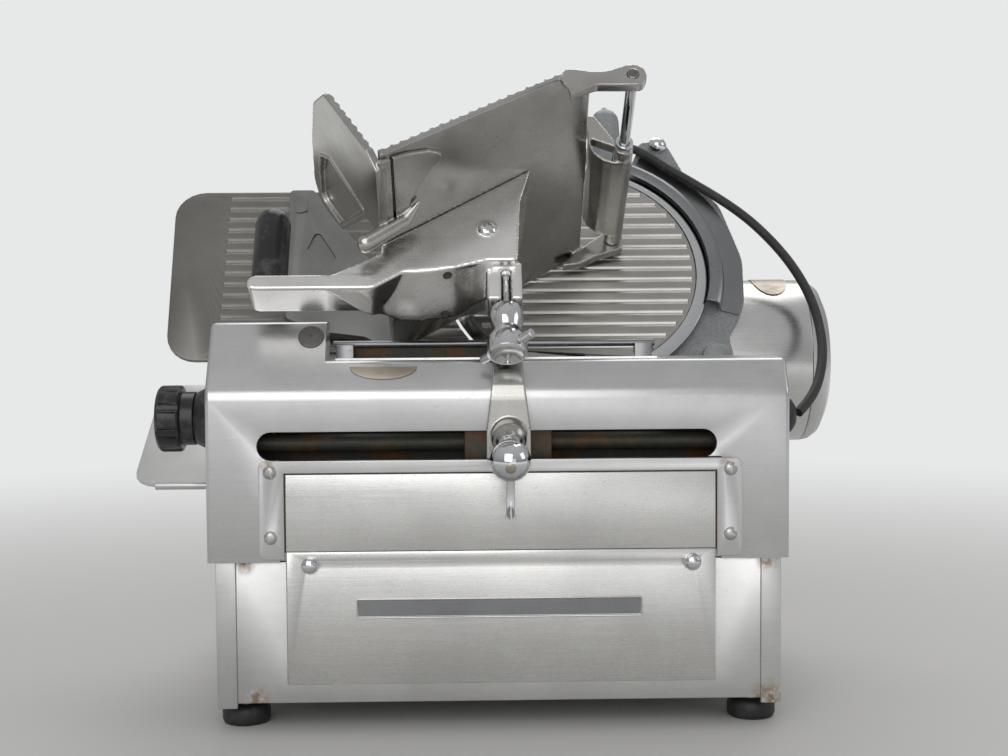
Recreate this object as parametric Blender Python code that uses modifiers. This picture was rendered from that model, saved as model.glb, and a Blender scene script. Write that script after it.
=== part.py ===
"""Electric gravity-feed meat slicer with a powered carriage, as separate solids, in metres, +Z up.

The bench frame has X to the operator's right, Y away from the operator and Z up, with Y = 0 on the
front face of the cover and Z = 0 on the table. The knife frame is the bench frame moved to the knife's
centre and leaned back by KNIFE_LEAN: its x runs right, its y away from the food, its z up the knife.
"""

import math

import bpy
from mathutils import Matrix, Vector

# Driving dimensions, in metres and degrees
FIT = 0.0003
KNIFE_LEAN = math.radians(34.0)

COVER_HALF_WIDTH = 0.259
COVER_WALL = 0.0062
COVER_BOTTOM = 0.153
COVER_DEPTH = 0.085
FOLD_HEIGHT = 0.302
KNIFE_ABOVE_FOLD = 0.1106
KNIFE_CENTRE = Vector((0.0826, 0.1859, FOLD_HEIGHT + KNIFE_ABOVE_FOLD))
FOLD_RADIUS = 0.018
MAIN_SLOPE = 0.0342
BLOCK_SLOPE = 0.0758
BLOCK_DEPTH = 0.070
BLOCK_RIGHT = -0.154
SLOT_LEFT = -0.2135
SLOT_RIGHT = 0.194
SLOT_BOTTOM = 0.2435
SLOT_HEIGHT = 0.0255
TOP_OPENING_HALF = 0.150
TOP_OPENING_FRONT = 0.030
TOP_OPENING_BACK = 0.077

FRAME_LEFT = -0.194
FRAME_RIGHT = 0.198
FRAME_BOTTOM = 0.140
FRAME_THICKNESS = 0.0055
EAR_WIDTH = 0.018
EAR_BOTTOM = 0.1555
EAR_TOP = 0.2435
EAR_THICKNESS = 0.0025
EAR_SCREW_RADIUS = 0.0054
LEDGE_BOTTOM = 0.2325
UPPER_DOOR_BOTTOM = 0.1628
LOWER_DOOR_BOTTOM = 0.044
DOOR_THICKNESS = 0.0035
DOOR_MARGIN = 0.0015
LOWER_DOOR_WALL = 0.003
DOOR_KNOB_HEIGHT = 0.1515
DOOR_KNOB_INSET = 0.021
DOOR_KNOB_RADIUS = 0.0075
BADGE_SIZE = (0.254, 0.018)
BADGE_HEIGHT = 0.112
BADGE_THICKNESS = 0.0025

CASE_HALF_WIDTH = 0.2525
CASE_FRONT = 0.0068
CASE_BACK = 0.380
CASE_BOTTOM = 0.025
CASE_WALL = 0.003
DECK_FRONT = 0.066
POST_WIDTH = 0.018
POST_PROUD = 0.0015
POST_BOTTOM = 0.0205
PAN_THICKNESS = 0.003
FOOT_RADIUS = 0.022
FOOT_HEIGHT = 0.018
FOOT_X = 0.232
FOOT_FRONT = 0.042
FOOT_BACK = 0.350
STUD_RADIUS = 0.012

ROD_RADIUS = 0.008
ROD_Y = 0.034
ROD_Z = 0.256
ROD_END_ROOM = 0.0068
ROD_HALF_LENGTH = COVER_HALF_WIDTH - COVER_WALL - ROD_END_ROOM
PLATE_Y = 0.068
PLATE_THICKNESS = 0.004
PLATE_TOP = FOLD_HEIGHT - 0.002
SUPPORT_WIDTH = 0.018
CARRIAGE_X = 0.009
BLOCK_WIDTH = 0.078
BLOCK_HEIGHT = 0.040
BLOCK_FRONT = 0.014
BLOCK_BACK = 0.050

PULLEY_X = 0.185
PULLEY_Z = 0.205
PULLEY_RADIUS = 0.014
BELT_THICKNESS = 0.0025
BELT_FRONT = 0.036
BELT_WIDTH = 0.012
AXLE_RADIUS = 0.005
WORM_WHEEL_RADIUS = 0.030
DRIVE_WORM_RADIUS = 0.008
DRIVE_WORM_Y = 0.059
DRIVE_SHAFT_RADIUS = 0.004
DRIVE_MOTOR_RADIUS = 0.040
DRIVE_MOTOR_TOP = 0.130

RAIL_RADIUS = 0.0035
RAIL_Y = 0.098
RAIL_Z = FOLD_HEIGHT + 0.0405

INDEX_Y = 0.060
INDEX_Z = FOLD_HEIGHT - 0.025
INDEX_SHAFT_RADIUS = 0.006
INDEX_KNOB_RADIUS = 0.0305
INDEX_KNOB_LEFT = -COVER_HALF_WIDTH - 0.051
INDEX_KNOB_RIGHT = -COVER_HALF_WIDTH - 0.029
INDEX_NECK_RADIUS = 0.0245
INDEX_NECK_RIGHT = -COVER_HALF_WIDTH - 0.017
INDEX_LOBES = 8
CAM_X = 0.0415 - COVER_HALF_WIDTH
CAM_WIDTH = 0.010
CAM_BASE_RADIUS = 0.007
CAM_RISE = 0.011
CAM_TURN = math.radians(270.0)
PUSH_ROD_RADIUS = 0.005

GAUGE_THICKNESS = 0.004
GAUGE_LEFT = -0.408
GAUGE_TAPER = 0.0075
GAUGE_TOP = 0.0995
GAUGE_BOTTOM = -0.103
GAUGE_RIGHT = -0.105
GAUGE_CORNER = 0.030
GAUGE_FLUTES_LEFT = -0.352
FLUTE_PITCH = 0.0132
FLUTE_DEPTH = 0.0012
FLUTE_RADIUS = 0.0042

TRAY_LEFT = -0.350
TRAY_RIGHT = 0.005
TRAY_FRONT = (0.120, 0.206)
TRAY_SLOPE = math.radians(30.0)
TRAY_LENGTH = 0.175
TRAY_THICKNESS = 0.002
TRAY_ROLL_RADIUS = 0.004

KNIFE_RADIUS = 0.132
KNIFE_BEVEL_WIDTH = 0.012
COVER_GAP = 0.0004
TIE_RADIUS = 0.004
GUARD_OUTER = 0.168
GUARD_TUNNEL_OUTER = 0.146
GUARD_START = math.radians(-17.0)
GUARD_END = math.radians(64.0)
GUARD_SHEET = 0.0015
CASTING_FRONT = 0.011
CASTING_BACK = 0.022
CASE_BORE = 0.034
GEAR_CASE_RADIUS = 0.052
GEAR_CASE_WALL = 0.006
GEAR_CASE_BACK = 0.150
SHAFT_RADIUS = 0.012
HUB_RADIUS = 0.030
EAR_CENTRE = (0.093, 0.166)
ACORN_RADIUS = 0.0095
BOSS_CENTRE = (0.1345, -0.099)
BOSS_RADIUS = 0.0155

MOTOR_Y = 0.255
MOTOR_Z = KNIFE_CENTRE.z - 0.0956
MOTOR_RADIUS = 0.084
MOTOR_WALL = 0.004
MOTOR_LEFT = 0.1363
MOTOR_SEAM = 0.318
MOTOR_RIGHT = 0.344
ROTOR_START = MOTOR_SEAM - 0.148
ROTOR_END = MOTOR_SEAM - 0.056
MOTOR_WORM_RADIUS = 0.010
MOTOR_SHAFT_RADIUS = 0.008
ROTOR_RADIUS = 0.036
STATOR_START = ROTOR_START - MOTOR_LEFT - 0.0017
STATOR_END = ROTOR_END - MOTOR_LEFT + 0.0013
PEDESTAL_LEFT = 0.030
PEDESTAL_FRONT = 0.215
PEDESTAL_BACK = 0.320
PEDESTAL_TOP = MOTOR_Z + 0.018
PEDESTAL_WALL = 0.006

SWITCH_X = 0.0445
SWITCH_Y = 0.060
SWITCH_RADIUS = 0.0155
SWITCH_TOP = 0.256
TOGGLE_RADIUS = 0.004
LEAD_RADIUS = 0.0047
GROMMET_RADIUS = 0.0205
GROMMET_Y = 0.060
GROMMET_Z = 0.2753
GROMMET_LENGTH = 0.0165

FLOOR_ANGLE = math.radians(31.9)
SIDE_ANGLE = math.radians(58.0)
CHUTE_DROP = 0.20
CHUTE_NEAR = 0.240
CHUTE_FAR = 0.006
FLOOR_LEFT = (-0.184, -0.0482)
FLOOR_LENGTH = 0.2165
FLOOR_THICKNESS = 0.007
FLOOR_FLUTE_PITCH = 0.0098
SIDE_THICKNESS = 0.007
PUSHER_X = 0.036
PUSHER_Z = 0.0265
PUSHER_ROD_RADIUS = 0.0048
LUG_THICKNESS = 0.010
EYE_NEAR = CHUTE_NEAR + 0.018
PUSHER_ROD_NEAR = EYE_NEAR + 0.0008
PUSHER_ROD_FAR = 0.0070
SLEEVE_RADIUS = 0.009
SLEEVE_NEAR = 0.160
SLEEVE_FAR = 0.0163
BRACKET_NEAR = 0.150
BRACKET_FAR = 0.066
HANDLE_NEAR = 0.150
HANDLE_FAR = 0.113
HANDLE_BOTTOM = -0.122
HANDLE_TOP = -0.1075
HANDLE_LEFT = -0.302
GRIP_X = -0.285
GRIP_RADIUS = 0.016
GRIP_TOP = -0.024
LUG_X = -0.0757
LUG_WIDTH = 0.031
LUG_SLOT = 0.0085
LUG_BOTTOM = -0.127
LUG_NEAR = 0.140
LUG_FAR = 0.1061
ARM_GAP = 0.0043
ARM_THICKNESS = 0.009
ARM_TOP = -0.0935
CLAMP_X = -0.0745
CLAMP_NEAR = 0.128
CLAMP_BOTTOM = -0.179
CLAMP_TOP = -0.1275
CLAMP_RADIUS = 0.0178
STUD_THREAD_RADIUS = 0.0035
CROSS_BAR_RADIUS = 0.0042
CROSS_BAR_HALF = 0.0305
CROSS_BAR_TURN = math.radians(46.0)
BALL_SLOPE = math.radians(16.0)
BALL_RADIUS = 0.0175
BALL_DISTANCE = 0.058
COLLAR_RADIUS = 0.0153

# Overall reach of the pieces, from which the origin under the middle of the box is worked out
REACH_LEFT = TRAY_LEFT
REACH_RIGHT = MOTOR_RIGHT
ARM_FACE_Y = -ARM_GAP - ARM_THICKNESS
BALL_START = Vector((CARRIAGE_X, ARM_FACE_Y, 0.2655))
BALL_AXIS = Vector((0.0, -math.cos(BALL_SLOPE), -math.sin(BALL_SLOPE)))
BALL_CENTRE = BALL_START + BALL_AXIS * BALL_DISTANCE
REACH_FRONT = BALL_CENTRE.y - BALL_RADIUS
CENTRE_X = (REACH_LEFT + REACH_RIGHT) / 2
REACH_BACK = (KNIFE_CENTRE.y + (SWITCH_TOP - SWITCH_RADIUS) * math.sin(KNIFE_LEAN)
              + SWITCH_Y * math.cos(KNIFE_LEAN) + SWITCH_RADIUS)
CENTRE_Y = (REACH_FRONT + REACH_BACK) / 2

BENCH = Matrix.Translation((-CENTRE_X, -CENTRE_Y, 0.0))
KNIFE = BENCH @ Matrix.Translation(KNIFE_CENTRE) @ Matrix.Rotation(-KNIFE_LEAN, 4, "X")

# Materials: colour, roughness, metallic
FINISHES = {
    "satin_aluminium": ((0.62, 0.62, 0.62), 0.38, 1.0),
    "polished_aluminium": ((0.70, 0.70, 0.69), 0.22, 1.0),
    "brushed_steel": ((0.58, 0.58, 0.57), 0.30, 1.0),
    "chrome": ((0.75, 0.76, 0.77), 0.08, 1.0),
    "blue_grey_paint": ((0.24, 0.27, 0.29), 0.50, 0.0),
    "cast_iron": ((0.30, 0.30, 0.30), 0.55, 0.8),
    "black_plastic": ((0.02, 0.02, 0.02), 0.35, 0.0),
    "black_rubber": ((0.03, 0.03, 0.03), 0.75, 0.0),
    "bronze": ((0.45, 0.30, 0.14), 0.40, 1.0),
    "aged_brass": ((0.34, 0.29, 0.22), 0.45, 0.8),
    "abrasive": ((0.55, 0.50, 0.45), 0.90, 0.0),
    "zinc_steel": ((0.55, 0.55, 0.53), 0.40, 1.0),
}


def clear_scene():
    """Remove what the file starts with."""
    for obj in list(bpy.data.objects):
        bpy.data.objects.remove(obj, do_unlink=True)


clear_scene()
PARTS = bpy.data.collections.new("meat_slicer")
CUTTERS = bpy.data.collections.new("cutters")
bpy.context.scene.collection.children.link(PARTS)
bpy.context.scene.collection.children.link(CUTTERS)


def finish(name):
    """The named Principled material, made once."""
    found = bpy.data.materials.get(name)
    if found:
        return found
    colour, roughness, metallic = FINISHES[name]
    made = bpy.data.materials.new(name)
    made.use_nodes = True
    shader = made.node_tree.nodes["Principled BSDF"]
    shader.inputs["Base Color"].default_value = (*colour, 1.0)
    shader.inputs["Roughness"].default_value = roughness
    shader.inputs["Metallic"].default_value = metallic
    return made


def settle(obj, name, frame, material=None, smooth=False):
    """Name an object, put it in its frame and its collection, and dress it."""
    obj.name = name
    obj.data.name = name
    for home in list(obj.users_collection):
        home.objects.unlink(obj)
    PARTS.objects.link(obj)
    obj.matrix_world = frame
    if material:
        obj.data.materials.clear()
        obj.data.materials.append(finish(material))
    if smooth:
        obj.data.shade_smooth()
        obj.data.set_sharp_from_angle(angle=math.radians(35.0))
    return obj


def block(name, low, high, frame=BENCH, material=None):
    """A box between two opposite corners of a frame, given in any order."""
    size = Vector([abs(b - a) for a, b in zip(low, high)])
    middle = (Vector(high) + Vector(low)) / 2
    bpy.ops.mesh.primitive_cube_add(size=1.0)
    obj = bpy.context.object
    obj.data.transform(Matrix.Translation(middle) @ Matrix.Diagonal((*size, 1.0)))
    return settle(obj, name, frame, material)


def direction_matrix(start, end):
    """The placement that takes the Z axis from start towards end, and the distance between them."""
    run = Vector(end) - Vector(start)
    turn = Vector((0.0, 0.0, 1.0)).rotation_difference(run.normalized()).to_matrix().to_4x4()
    return Matrix.Translation(Vector(start)) @ turn, run.length


def rod(name, start, end, radius, frame=BENCH, material=None, sides=24, end_radius=None):
    """A round bar, or a cone where end_radius is given, from start to end."""
    place, length = direction_matrix(start, end)
    tip = radius if end_radius is None else end_radius
    bpy.ops.mesh.primitive_cone_add(vertices=sides, radius1=radius, radius2=tip, depth=length)
    obj = bpy.context.object
    obj.data.transform(place @ Matrix.Translation((0.0, 0.0, length / 2)))
    return settle(obj, name, frame, material, smooth=True)


def ball(name, centre, radius, frame=BENCH, material=None, sides=24):
    """A sphere."""
    bpy.ops.mesh.primitive_uv_sphere_add(segments=sides, ring_count=sides // 2, radius=radius)
    obj = bpy.context.object
    obj.data.transform(Matrix.Translation(Vector(centre)))
    return settle(obj, name, frame, material, smooth=True)


def as_mesh(obj):
    """Turn an object with modifiers, or a curve, into a plain mesh object of the same name."""
    bpy.context.view_layer.update()
    depsgraph = bpy.context.evaluated_depsgraph_get()
    mesh = bpy.data.meshes.new_from_object(obj.evaluated_get(depsgraph))
    bpy.context.view_layer.update()
    made = bpy.data.objects.new("made", mesh)
    PARTS.objects.link(made)
    made.matrix_world = obj.matrix_world.copy()
    bpy.data.objects.remove(obj, do_unlink=True)
    weld = made.modifiers.new("weld", "WELD")
    weld.merge_threshold = 0.000002
    bpy.context.view_layer.update()
    depsgraph = bpy.context.evaluated_depsgraph_get()
    welded = bpy.data.meshes.new_from_object(made.evaluated_get(depsgraph))
    made.modifiers.clear()
    made.data = welded
    return made


def turned(name, profile, start, end, frame=BENCH, material=None, steps=48):
    """A turned piece. profile is (radius, height) pairs from the top down the outer side, and height
    runs from start towards end. A profile that leaves the axis is closed on itself."""
    mesh = bpy.data.meshes.new("profile")
    points = [(radius, 0.0, height) for radius, height in profile]
    edges = [(i, i + 1) for i in range(len(points) - 1)]
    if profile[0][0] > 0.0:
        edges.append((len(points) - 1, 0))
    mesh.from_pydata(points, edges, [])
    obj = bpy.data.objects.new("profile", mesh)
    PARTS.objects.link(obj)
    screw = obj.modifiers.new("screw", "SCREW")
    screw.steps = steps
    screw.render_steps = steps
    screw.use_merge_vertices = True
    screw.merge_threshold = 0.00001
    made = as_mesh(obj)
    place, _ = direction_matrix(start, end)
    made.data.transform(place)
    return settle(made, name, frame, material, smooth=True)


def arc(centre, radius, first, last, steps):
    """Points on an arc, both ends included, with angles in degrees."""
    span = [math.radians(first + (last - first) * i / steps) for i in range(steps + 1)]
    return [(centre[0] + radius * math.cos(a), centre[1] + radius * math.sin(a)) for a in span]


def rounded(corners, steps=4):
    """An outline from (x, y, radius) corners, with an arc in each corner whose radius isn't 0."""
    outline = []
    count = len(corners)
    for index, (x, y, radius) in enumerate(corners):
        here = Vector((x, y))
        before = Vector(corners[index - 1][:2]) - here
        after = Vector(corners[(index + 1) % count][:2]) - here
        if radius <= 0.0:
            outline.append((x, y))
            continue
        half = before.angle(after) / 2
        reach = radius / math.tan(half)
        first = here + before.normalized() * reach
        last = here + after.normalized() * reach
        middle = here + (before.normalized() + after.normalized()).normalized() * (radius / math.sin(half))
        start = first - middle
        sweep = start.angle_signed(last - middle)
        for step in range(steps + 1):
            turn = Matrix.Rotation(-sweep * step / steps, 2)
            outline.append(tuple(middle + turn @ start))
    return outline


def slab(name, outline, low, high, frame=BENCH, axes=("x", "z"), material=None):
    """A flat outline in two axes of the frame, extruded along the third from low to high."""
    curve = bpy.data.curves.new("outline", "CURVE")
    curve.dimensions = "2D"
    curve.fill_mode = "BOTH"
    curve.extrude = (high - low) / 2
    spline = curve.splines.new("POLY")
    spline.points.add(len(outline) - 1)
    spline.use_cyclic_u = True
    for point, (a, b) in zip(spline.points, outline):
        point.co = (a, b, 0.0, 1.0)
    obj = bpy.data.objects.new("outline", curve)
    PARTS.objects.link(obj)
    made = as_mesh(obj)
    basis = {"x": Vector((1, 0, 0)), "y": Vector((0, 1, 0)), "z": Vector((0, 0, 1))}
    first = basis[axes[0]]
    second = basis[axes[1]]
    third = first.cross(second)
    middle = (low + high) / 2
    across = Vector((1, 1, 1)) - first - second
    place = Matrix((first, second, third)).transposed().to_4x4()
    made.data.transform(Matrix.Translation(across * middle) @ place)
    return settle(made, name, frame, material)


def tool(obj):
    """Set a construction solid aside with the cutters."""
    PARTS.objects.unlink(obj)
    CUTTERS.objects.link(obj)
    obj.hide_render = True
    obj.display_type = "WIRE"
    return obj


def combine(obj, operation, others):
    """Add a Boolean for each other solid, which becomes a cutter."""
    for other in others:
        change = obj.modifiers.new(operation.lower(), "BOOLEAN")
        change.operation = operation
        change.solver = "EXACT"
        change.object = tool(other)
    return obj


def cut(obj, *others):
    """Cut the other solids out of obj."""
    return combine(obj, "DIFFERENCE", others)


def join(obj, *others):
    """Join the other solids to obj, as one casting or one welded piece."""
    return combine(obj, "UNION", others)


def hang_on(axis_name, point, frame, objects):
    """An empty on a joint's axis that carries the pieces of one moving body."""
    empty = bpy.data.objects.new(axis_name, None)
    PARTS.objects.link(empty)
    empty.matrix_world = frame @ Matrix.Translation(Vector(point))
    bpy.context.view_layer.update()
    for obj in objects:
        obj.parent = empty
        obj.matrix_parent_inverse = empty.matrix_world.inverted()
    return empty


def at(x, n, u):
    """A point of the knife frame from its x, its height n over the knife towards the food, and u."""
    return Vector((x, -n, u))


# The cover and its door


def cover_profile(slope_length, depth, inset):
    """The side outline of the cover, moved inwards by inset, in (Y, Z)."""
    back_step = inset * math.tan(KNIFE_LEAN / 2)
    fold = (inset, FOLD_HEIGHT - inset * math.sin(KNIFE_LEAN) + back_step * math.cos(KNIFE_LEAN))
    top = FOLD_HEIGHT + slope_length * math.cos(KNIFE_LEAN) - inset
    front_top = fold[0] + (top - fold[1]) * math.tan(KNIFE_LEAN)
    bottom = COVER_BOTTOM if inset == 0.0 else COVER_BOTTOM - 0.01
    return rounded([
        (inset, bottom, 0.0),
        (fold[0], fold[1], FOLD_RADIUS - inset),
        (front_top, top, 0.006 if inset == 0.0 else 0.0),
        (depth - inset, top, 0.004 if inset == 0.0 else 0.0),
        (depth - inset, bottom, 0.0),
    ])


def make_cover():
    """The cast cover with the slot, the door opening, the raised left block and the top opening."""
    half = COVER_HALF_WIDTH
    inner = half - COVER_WALL
    main = slab("upper_cover", cover_profile(MAIN_SLOPE, COVER_DEPTH, 0.0), -half, half,
                axes=("y", "z"), material="satin_aluminium")
    raised = slab("block", cover_profile(BLOCK_SLOPE, BLOCK_DEPTH, 0.0), -half, BLOCK_RIGHT,
        axes=("y", "z"))
    hollow = slab("hollow", cover_profile(MAIN_SLOPE, COVER_DEPTH, COVER_WALL), -inner, inner,
                  axes=("y", "z"))
    block_hollow = slab("block_hollow", cover_profile(BLOCK_SLOPE, BLOCK_DEPTH, COVER_WALL), -inner,
                        BLOCK_RIGHT - COVER_WALL, axes=("y", "z"))
    join(main, raised)
    slot_radius = SLOT_HEIGHT / 2
    slot = slab("slot", rounded([
        (SLOT_LEFT, SLOT_BOTTOM, slot_radius * 0.99),
        (SLOT_RIGHT, SLOT_BOTTOM, slot_radius * 0.99),
        (SLOT_RIGHT, SLOT_BOTTOM + SLOT_HEIGHT, slot_radius * 0.99),
        (SLOT_LEFT, SLOT_BOTTOM + SLOT_HEIGHT, slot_radius * 0.99),
    ], 5), -0.01, 0.02)
    opening = block("opening", (FRAME_LEFT, -0.01, COVER_BOTTOM - 0.01),
        (FRAME_RIGHT, 0.02, SLOT_BOTTOM + 0.001))
    top = block("top_opening", (-TOP_OPENING_HALF, TOP_OPENING_FRONT, FOLD_HEIGHT),
                (TOP_OPENING_HALF, TOP_OPENING_BACK, 0.40))
    shaft_hole = rod("shaft_hole", (-0.30, INDEX_Y, INDEX_Z), (-0.24, INDEX_Y, INDEX_Z),
                     INDEX_SHAFT_RADIUS + 0.0005)
    cut(main, hollow, block_hollow, slot, opening, top, shaft_hole, gauge_bush_hole())
    return main


def push_rod_point(n):
    """A point on the push rod's line, n over the knife's plane, in the knife frame."""
    axis = Vector((CAM_X, INDEX_Y, INDEX_Z)) - KNIFE_CENTRE
    up_knife = axis.y * math.sin(KNIFE_LEAN) + axis.z * math.cos(KNIFE_LEAN)
    return at(axis.x, n, up_knife)


def cam_height():
    """How far the index shaft's axis is over the knife's plane."""
    axis = Vector((CAM_X, INDEX_Y, INDEX_Z)) - KNIFE_CENTRE
    return axis.z * math.sin(KNIFE_LEAN) - axis.y * math.cos(KNIFE_LEAN)


BUSH_RADIUS = 0.0085
BUSH_FAR = -0.0125
BUSH_NEAR = 0.0108


def gauge_bush_hole():
    """The hole of the gauge bush in the cover's rear wall."""
    return rod("bush_hole", push_rod_point(-0.03), push_rod_point(0.0145), BUSH_RADIUS + FIT, KNIFE)


def make_door():
    """The frame with its two ears, the fixed upper door, the lower door with its knobs and badge."""
    front = FIT
    back = FRAME_THICKNESS
    left = FRAME_LEFT + FIT
    right = FRAME_RIGHT - FIT
    frame = block("door_frame", (left, -EAR_THICKNESS, FRAME_BOTTOM), (right, back, SLOT_BOTTOM),
                  material="satin_aluminium")
    window = block("window", (left + 0.014, -0.02, UPPER_DOOR_BOTTOM + 0.008),
                   (right - 0.014, 0.02, LEDGE_BOTTOM - 0.008))
    recess = block("recess", (left - 0.01, -0.02, 0.0), (right + 0.01, front, LEDGE_BOTTOM))
    ears = []
    for side, edge in ((-1, left), (1, right)):
        outer = edge + side * (EAR_WIDTH + FIT)
        inner = edge - side * 0.004
        low, high = sorted((outer, inner))
        radius = 0.006
        outline = rounded([(low, EAR_BOTTOM, radius if side < 0 else 0.0),
                           (high, EAR_BOTTOM, radius if side > 0 else 0.0),
                           (high, EAR_TOP - FIT, radius if side > 0 else 0.0),
                           (low, EAR_TOP - FIT, radius if side < 0 else 0.0)])
        ears.append(slab("ear", outline, -EAR_THICKNESS, -FIT))
        bridge = block("bridge", (min(edge, inner), -FIT - 0.001, EAR_BOTTOM),
                       (max(edge, inner), back / 2, EAR_TOP - FIT))
        ears.append(bridge)
        for height in (EAR_BOTTOM + 0.020, EAR_TOP - 0.010):
            centre = edge + side * EAR_WIDTH * 0.45
            ears.append(rod("screw", (centre, -EAR_THICKNESS - 0.002, height),
                            (centre, -EAR_THICKNESS + 0.001, height), EAR_SCREW_RADIUS * 0.7,
                            sides=16, end_radius=EAR_SCREW_RADIUS))
    cut(frame, window, recess)
    join(frame, *ears)
    for side, edge in ((-1, left), (1, right)):
        reach = 0.004 + DOOR_MARGIN + LOWER_DOOR_WALL + FIT
        low_x, high_x = sorted((edge + side * 0.001, edge - side * reach))
        cut(frame, block("notch", (low_x, -0.02, FRAME_BOTTOM - 0.01), (high_x, 0.02, EAR_BOTTOM - 0.001)))
        low_x, high_x = sorted((edge - side * 0.0052, edge - side * reach))
        cut(frame, block("notch", (low_x, -0.02, FRAME_BOTTOM - 0.01),
            (high_x, 0.02, UPPER_DOOR_BOTTOM + FIT)))

    door_left = left + 0.004 + DOOR_MARGIN
    door_right = right - 0.004 - DOOR_MARGIN
    upper = block("upper_door", (door_left, -DOOR_THICKNESS, UPPER_DOOR_BOTTOM + FIT),
                  (door_right, 0.0, LEDGE_BOTTOM - 0.001), material="satin_aluminium")

    lower = block("lower_door", (door_left, -DOOR_THICKNESS, LOWER_DOOR_BOTTOM),
                  (door_right, CASE_FRONT - FIT, UPPER_DOOR_BOTTOM), material="satin_aluminium")
    wall = LOWER_DOOR_WALL
    tray = block("tray", (door_left + wall, 0.0, LOWER_DOOR_BOTTOM + wall),
                 (door_right - wall, 0.02, UPPER_DOOR_BOTTOM + 0.01))
    knobs = []
    for name, x in (("door_knob_left", door_left + DOOR_KNOB_INSET),
                    ("door_knob_right", door_right - DOOR_KNOB_INSET)):
        hole = rod("hole", (x, -0.02, DOOR_KNOB_HEIGHT), (x, 0.02, DOOR_KNOB_HEIGHT), 0.003)
        tool(hole)
        for target in (lower, frame):
            change = target.modifiers.new("hole", "BOOLEAN")
            change.object = hole
        face = -DOOR_THICKNESS - FIT
        knob = turned(name, [(0.0, 0.010), (0.003, 0.0098), (0.0055, 0.0085), (DOOR_KNOB_RADIUS, 0.005),
                             (DOOR_KNOB_RADIUS, 0.0), (0.0027, 0.0), (0.0027, -0.0115), (0.0, -0.0115)],
                      (x, face, DOOR_KNOB_HEIGHT), (x, face - 0.01, DOOR_KNOB_HEIGHT),
                      material="zinc_steel", steps=24)
        knobs.append(knob)
    cut(lower, tray)
    badge = slab("badge_plate", rounded([
        (-BADGE_SIZE[0] / 2, BADGE_HEIGHT - BADGE_SIZE[1] / 2, 0.002),
        (BADGE_SIZE[0] / 2, BADGE_HEIGHT - BADGE_SIZE[1] / 2, 0.002),
        (BADGE_SIZE[0] / 2, BADGE_HEIGHT + BADGE_SIZE[1] / 2, 0.002),
        (-BADGE_SIZE[0] / 2, BADGE_HEIGHT + BADGE_SIZE[1] / 2, 0.002),
    ], 2), -DOOR_THICKNESS - BADGE_THICKNESS, -DOOR_THICKNESS - FIT, material="brushed_steel")
    hang_on("door_axis", (0.0, 0.0, LOWER_DOOR_BOTTOM), BENCH, [lower, badge] + knobs)
    return frame, upper, lower


# The lower case


def make_case():
    """The lower case with its posts, deck and door opening, the pan with its studs, and the feet."""
    half = CASE_HALF_WIDTH
    top = COVER_BOTTOM - FIT
    case = block("lower_case", (-half, CASE_FRONT, CASE_BOTTOM), (half, CASE_BACK, top),
                 material="satin_aluminium")
    posts = []
    for side in (-1, 1):
        low, high = sorted((side * half, side * (half - POST_WIDTH)))
        posts.append(block("post", (low, CASE_FRONT - POST_PROUD, POST_BOTTOM),
                           (high, CASE_FRONT + POST_WIDTH, top)))
    hollow = block("hollow", (-half + CASE_WALL, CASE_FRONT + CASE_WALL, 0.0),
                   (half - CASE_WALL, CASE_BACK - CASE_WALL, top - CASE_WALL))
    open_top = block("open_top", (-half + CASE_WALL, CASE_FRONT + CASE_WALL, 0.10),
                     (half - CASE_WALL, DECK_FRONT, 0.20))
    door_way = block("door_way", (FRAME_LEFT + 0.012, -0.02, LOWER_DOOR_BOTTOM + 0.008),
                     (FRAME_RIGHT - 0.012, 0.04, 0.20))
    join(case, *posts)
    cut(case, hollow, open_top, door_way)

    gap = CASE_WALL + FIT
    pan = block("floor_pan", (-half + gap, CASE_FRONT + gap, CASE_BOTTOM),
                (half - gap, CASE_BACK - gap, CASE_BOTTOM + PAN_THICKNESS), material="zinc_steel")
    studs = []
    for x in (-FOOT_X, FOOT_X):
        for y in (FOOT_FRONT, FOOT_BACK):
            studs.append(rod("stud", (x, y, FOOT_HEIGHT + FIT), (x, y, CASE_BOTTOM + 0.001), STUD_RADIUS,
                             end_radius=STUD_RADIUS * 0.8))
    join(pan, *studs)
    names = ("foot_front_left", "foot_back_left", "foot_front_right", "foot_back_right")
    places = [(x, y) for x in (-FOOT_X, FOOT_X) for y in (FOOT_FRONT, FOOT_BACK)]
    for name, (x, y) in zip(names, places):
        turned(name, [(0.0, FOOT_HEIGHT), (0.016, FOOT_HEIGHT), (0.020, 0.0165), (FOOT_RADIUS, 0.012),
                      (FOOT_RADIUS, 0.004), (0.0205, 0.0), (0.0, 0.0)],
               (x, y, 0.0), (x, y, 1.0), material="black_rubber", steps=32)


# The carriage's drive inside the cover


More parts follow.
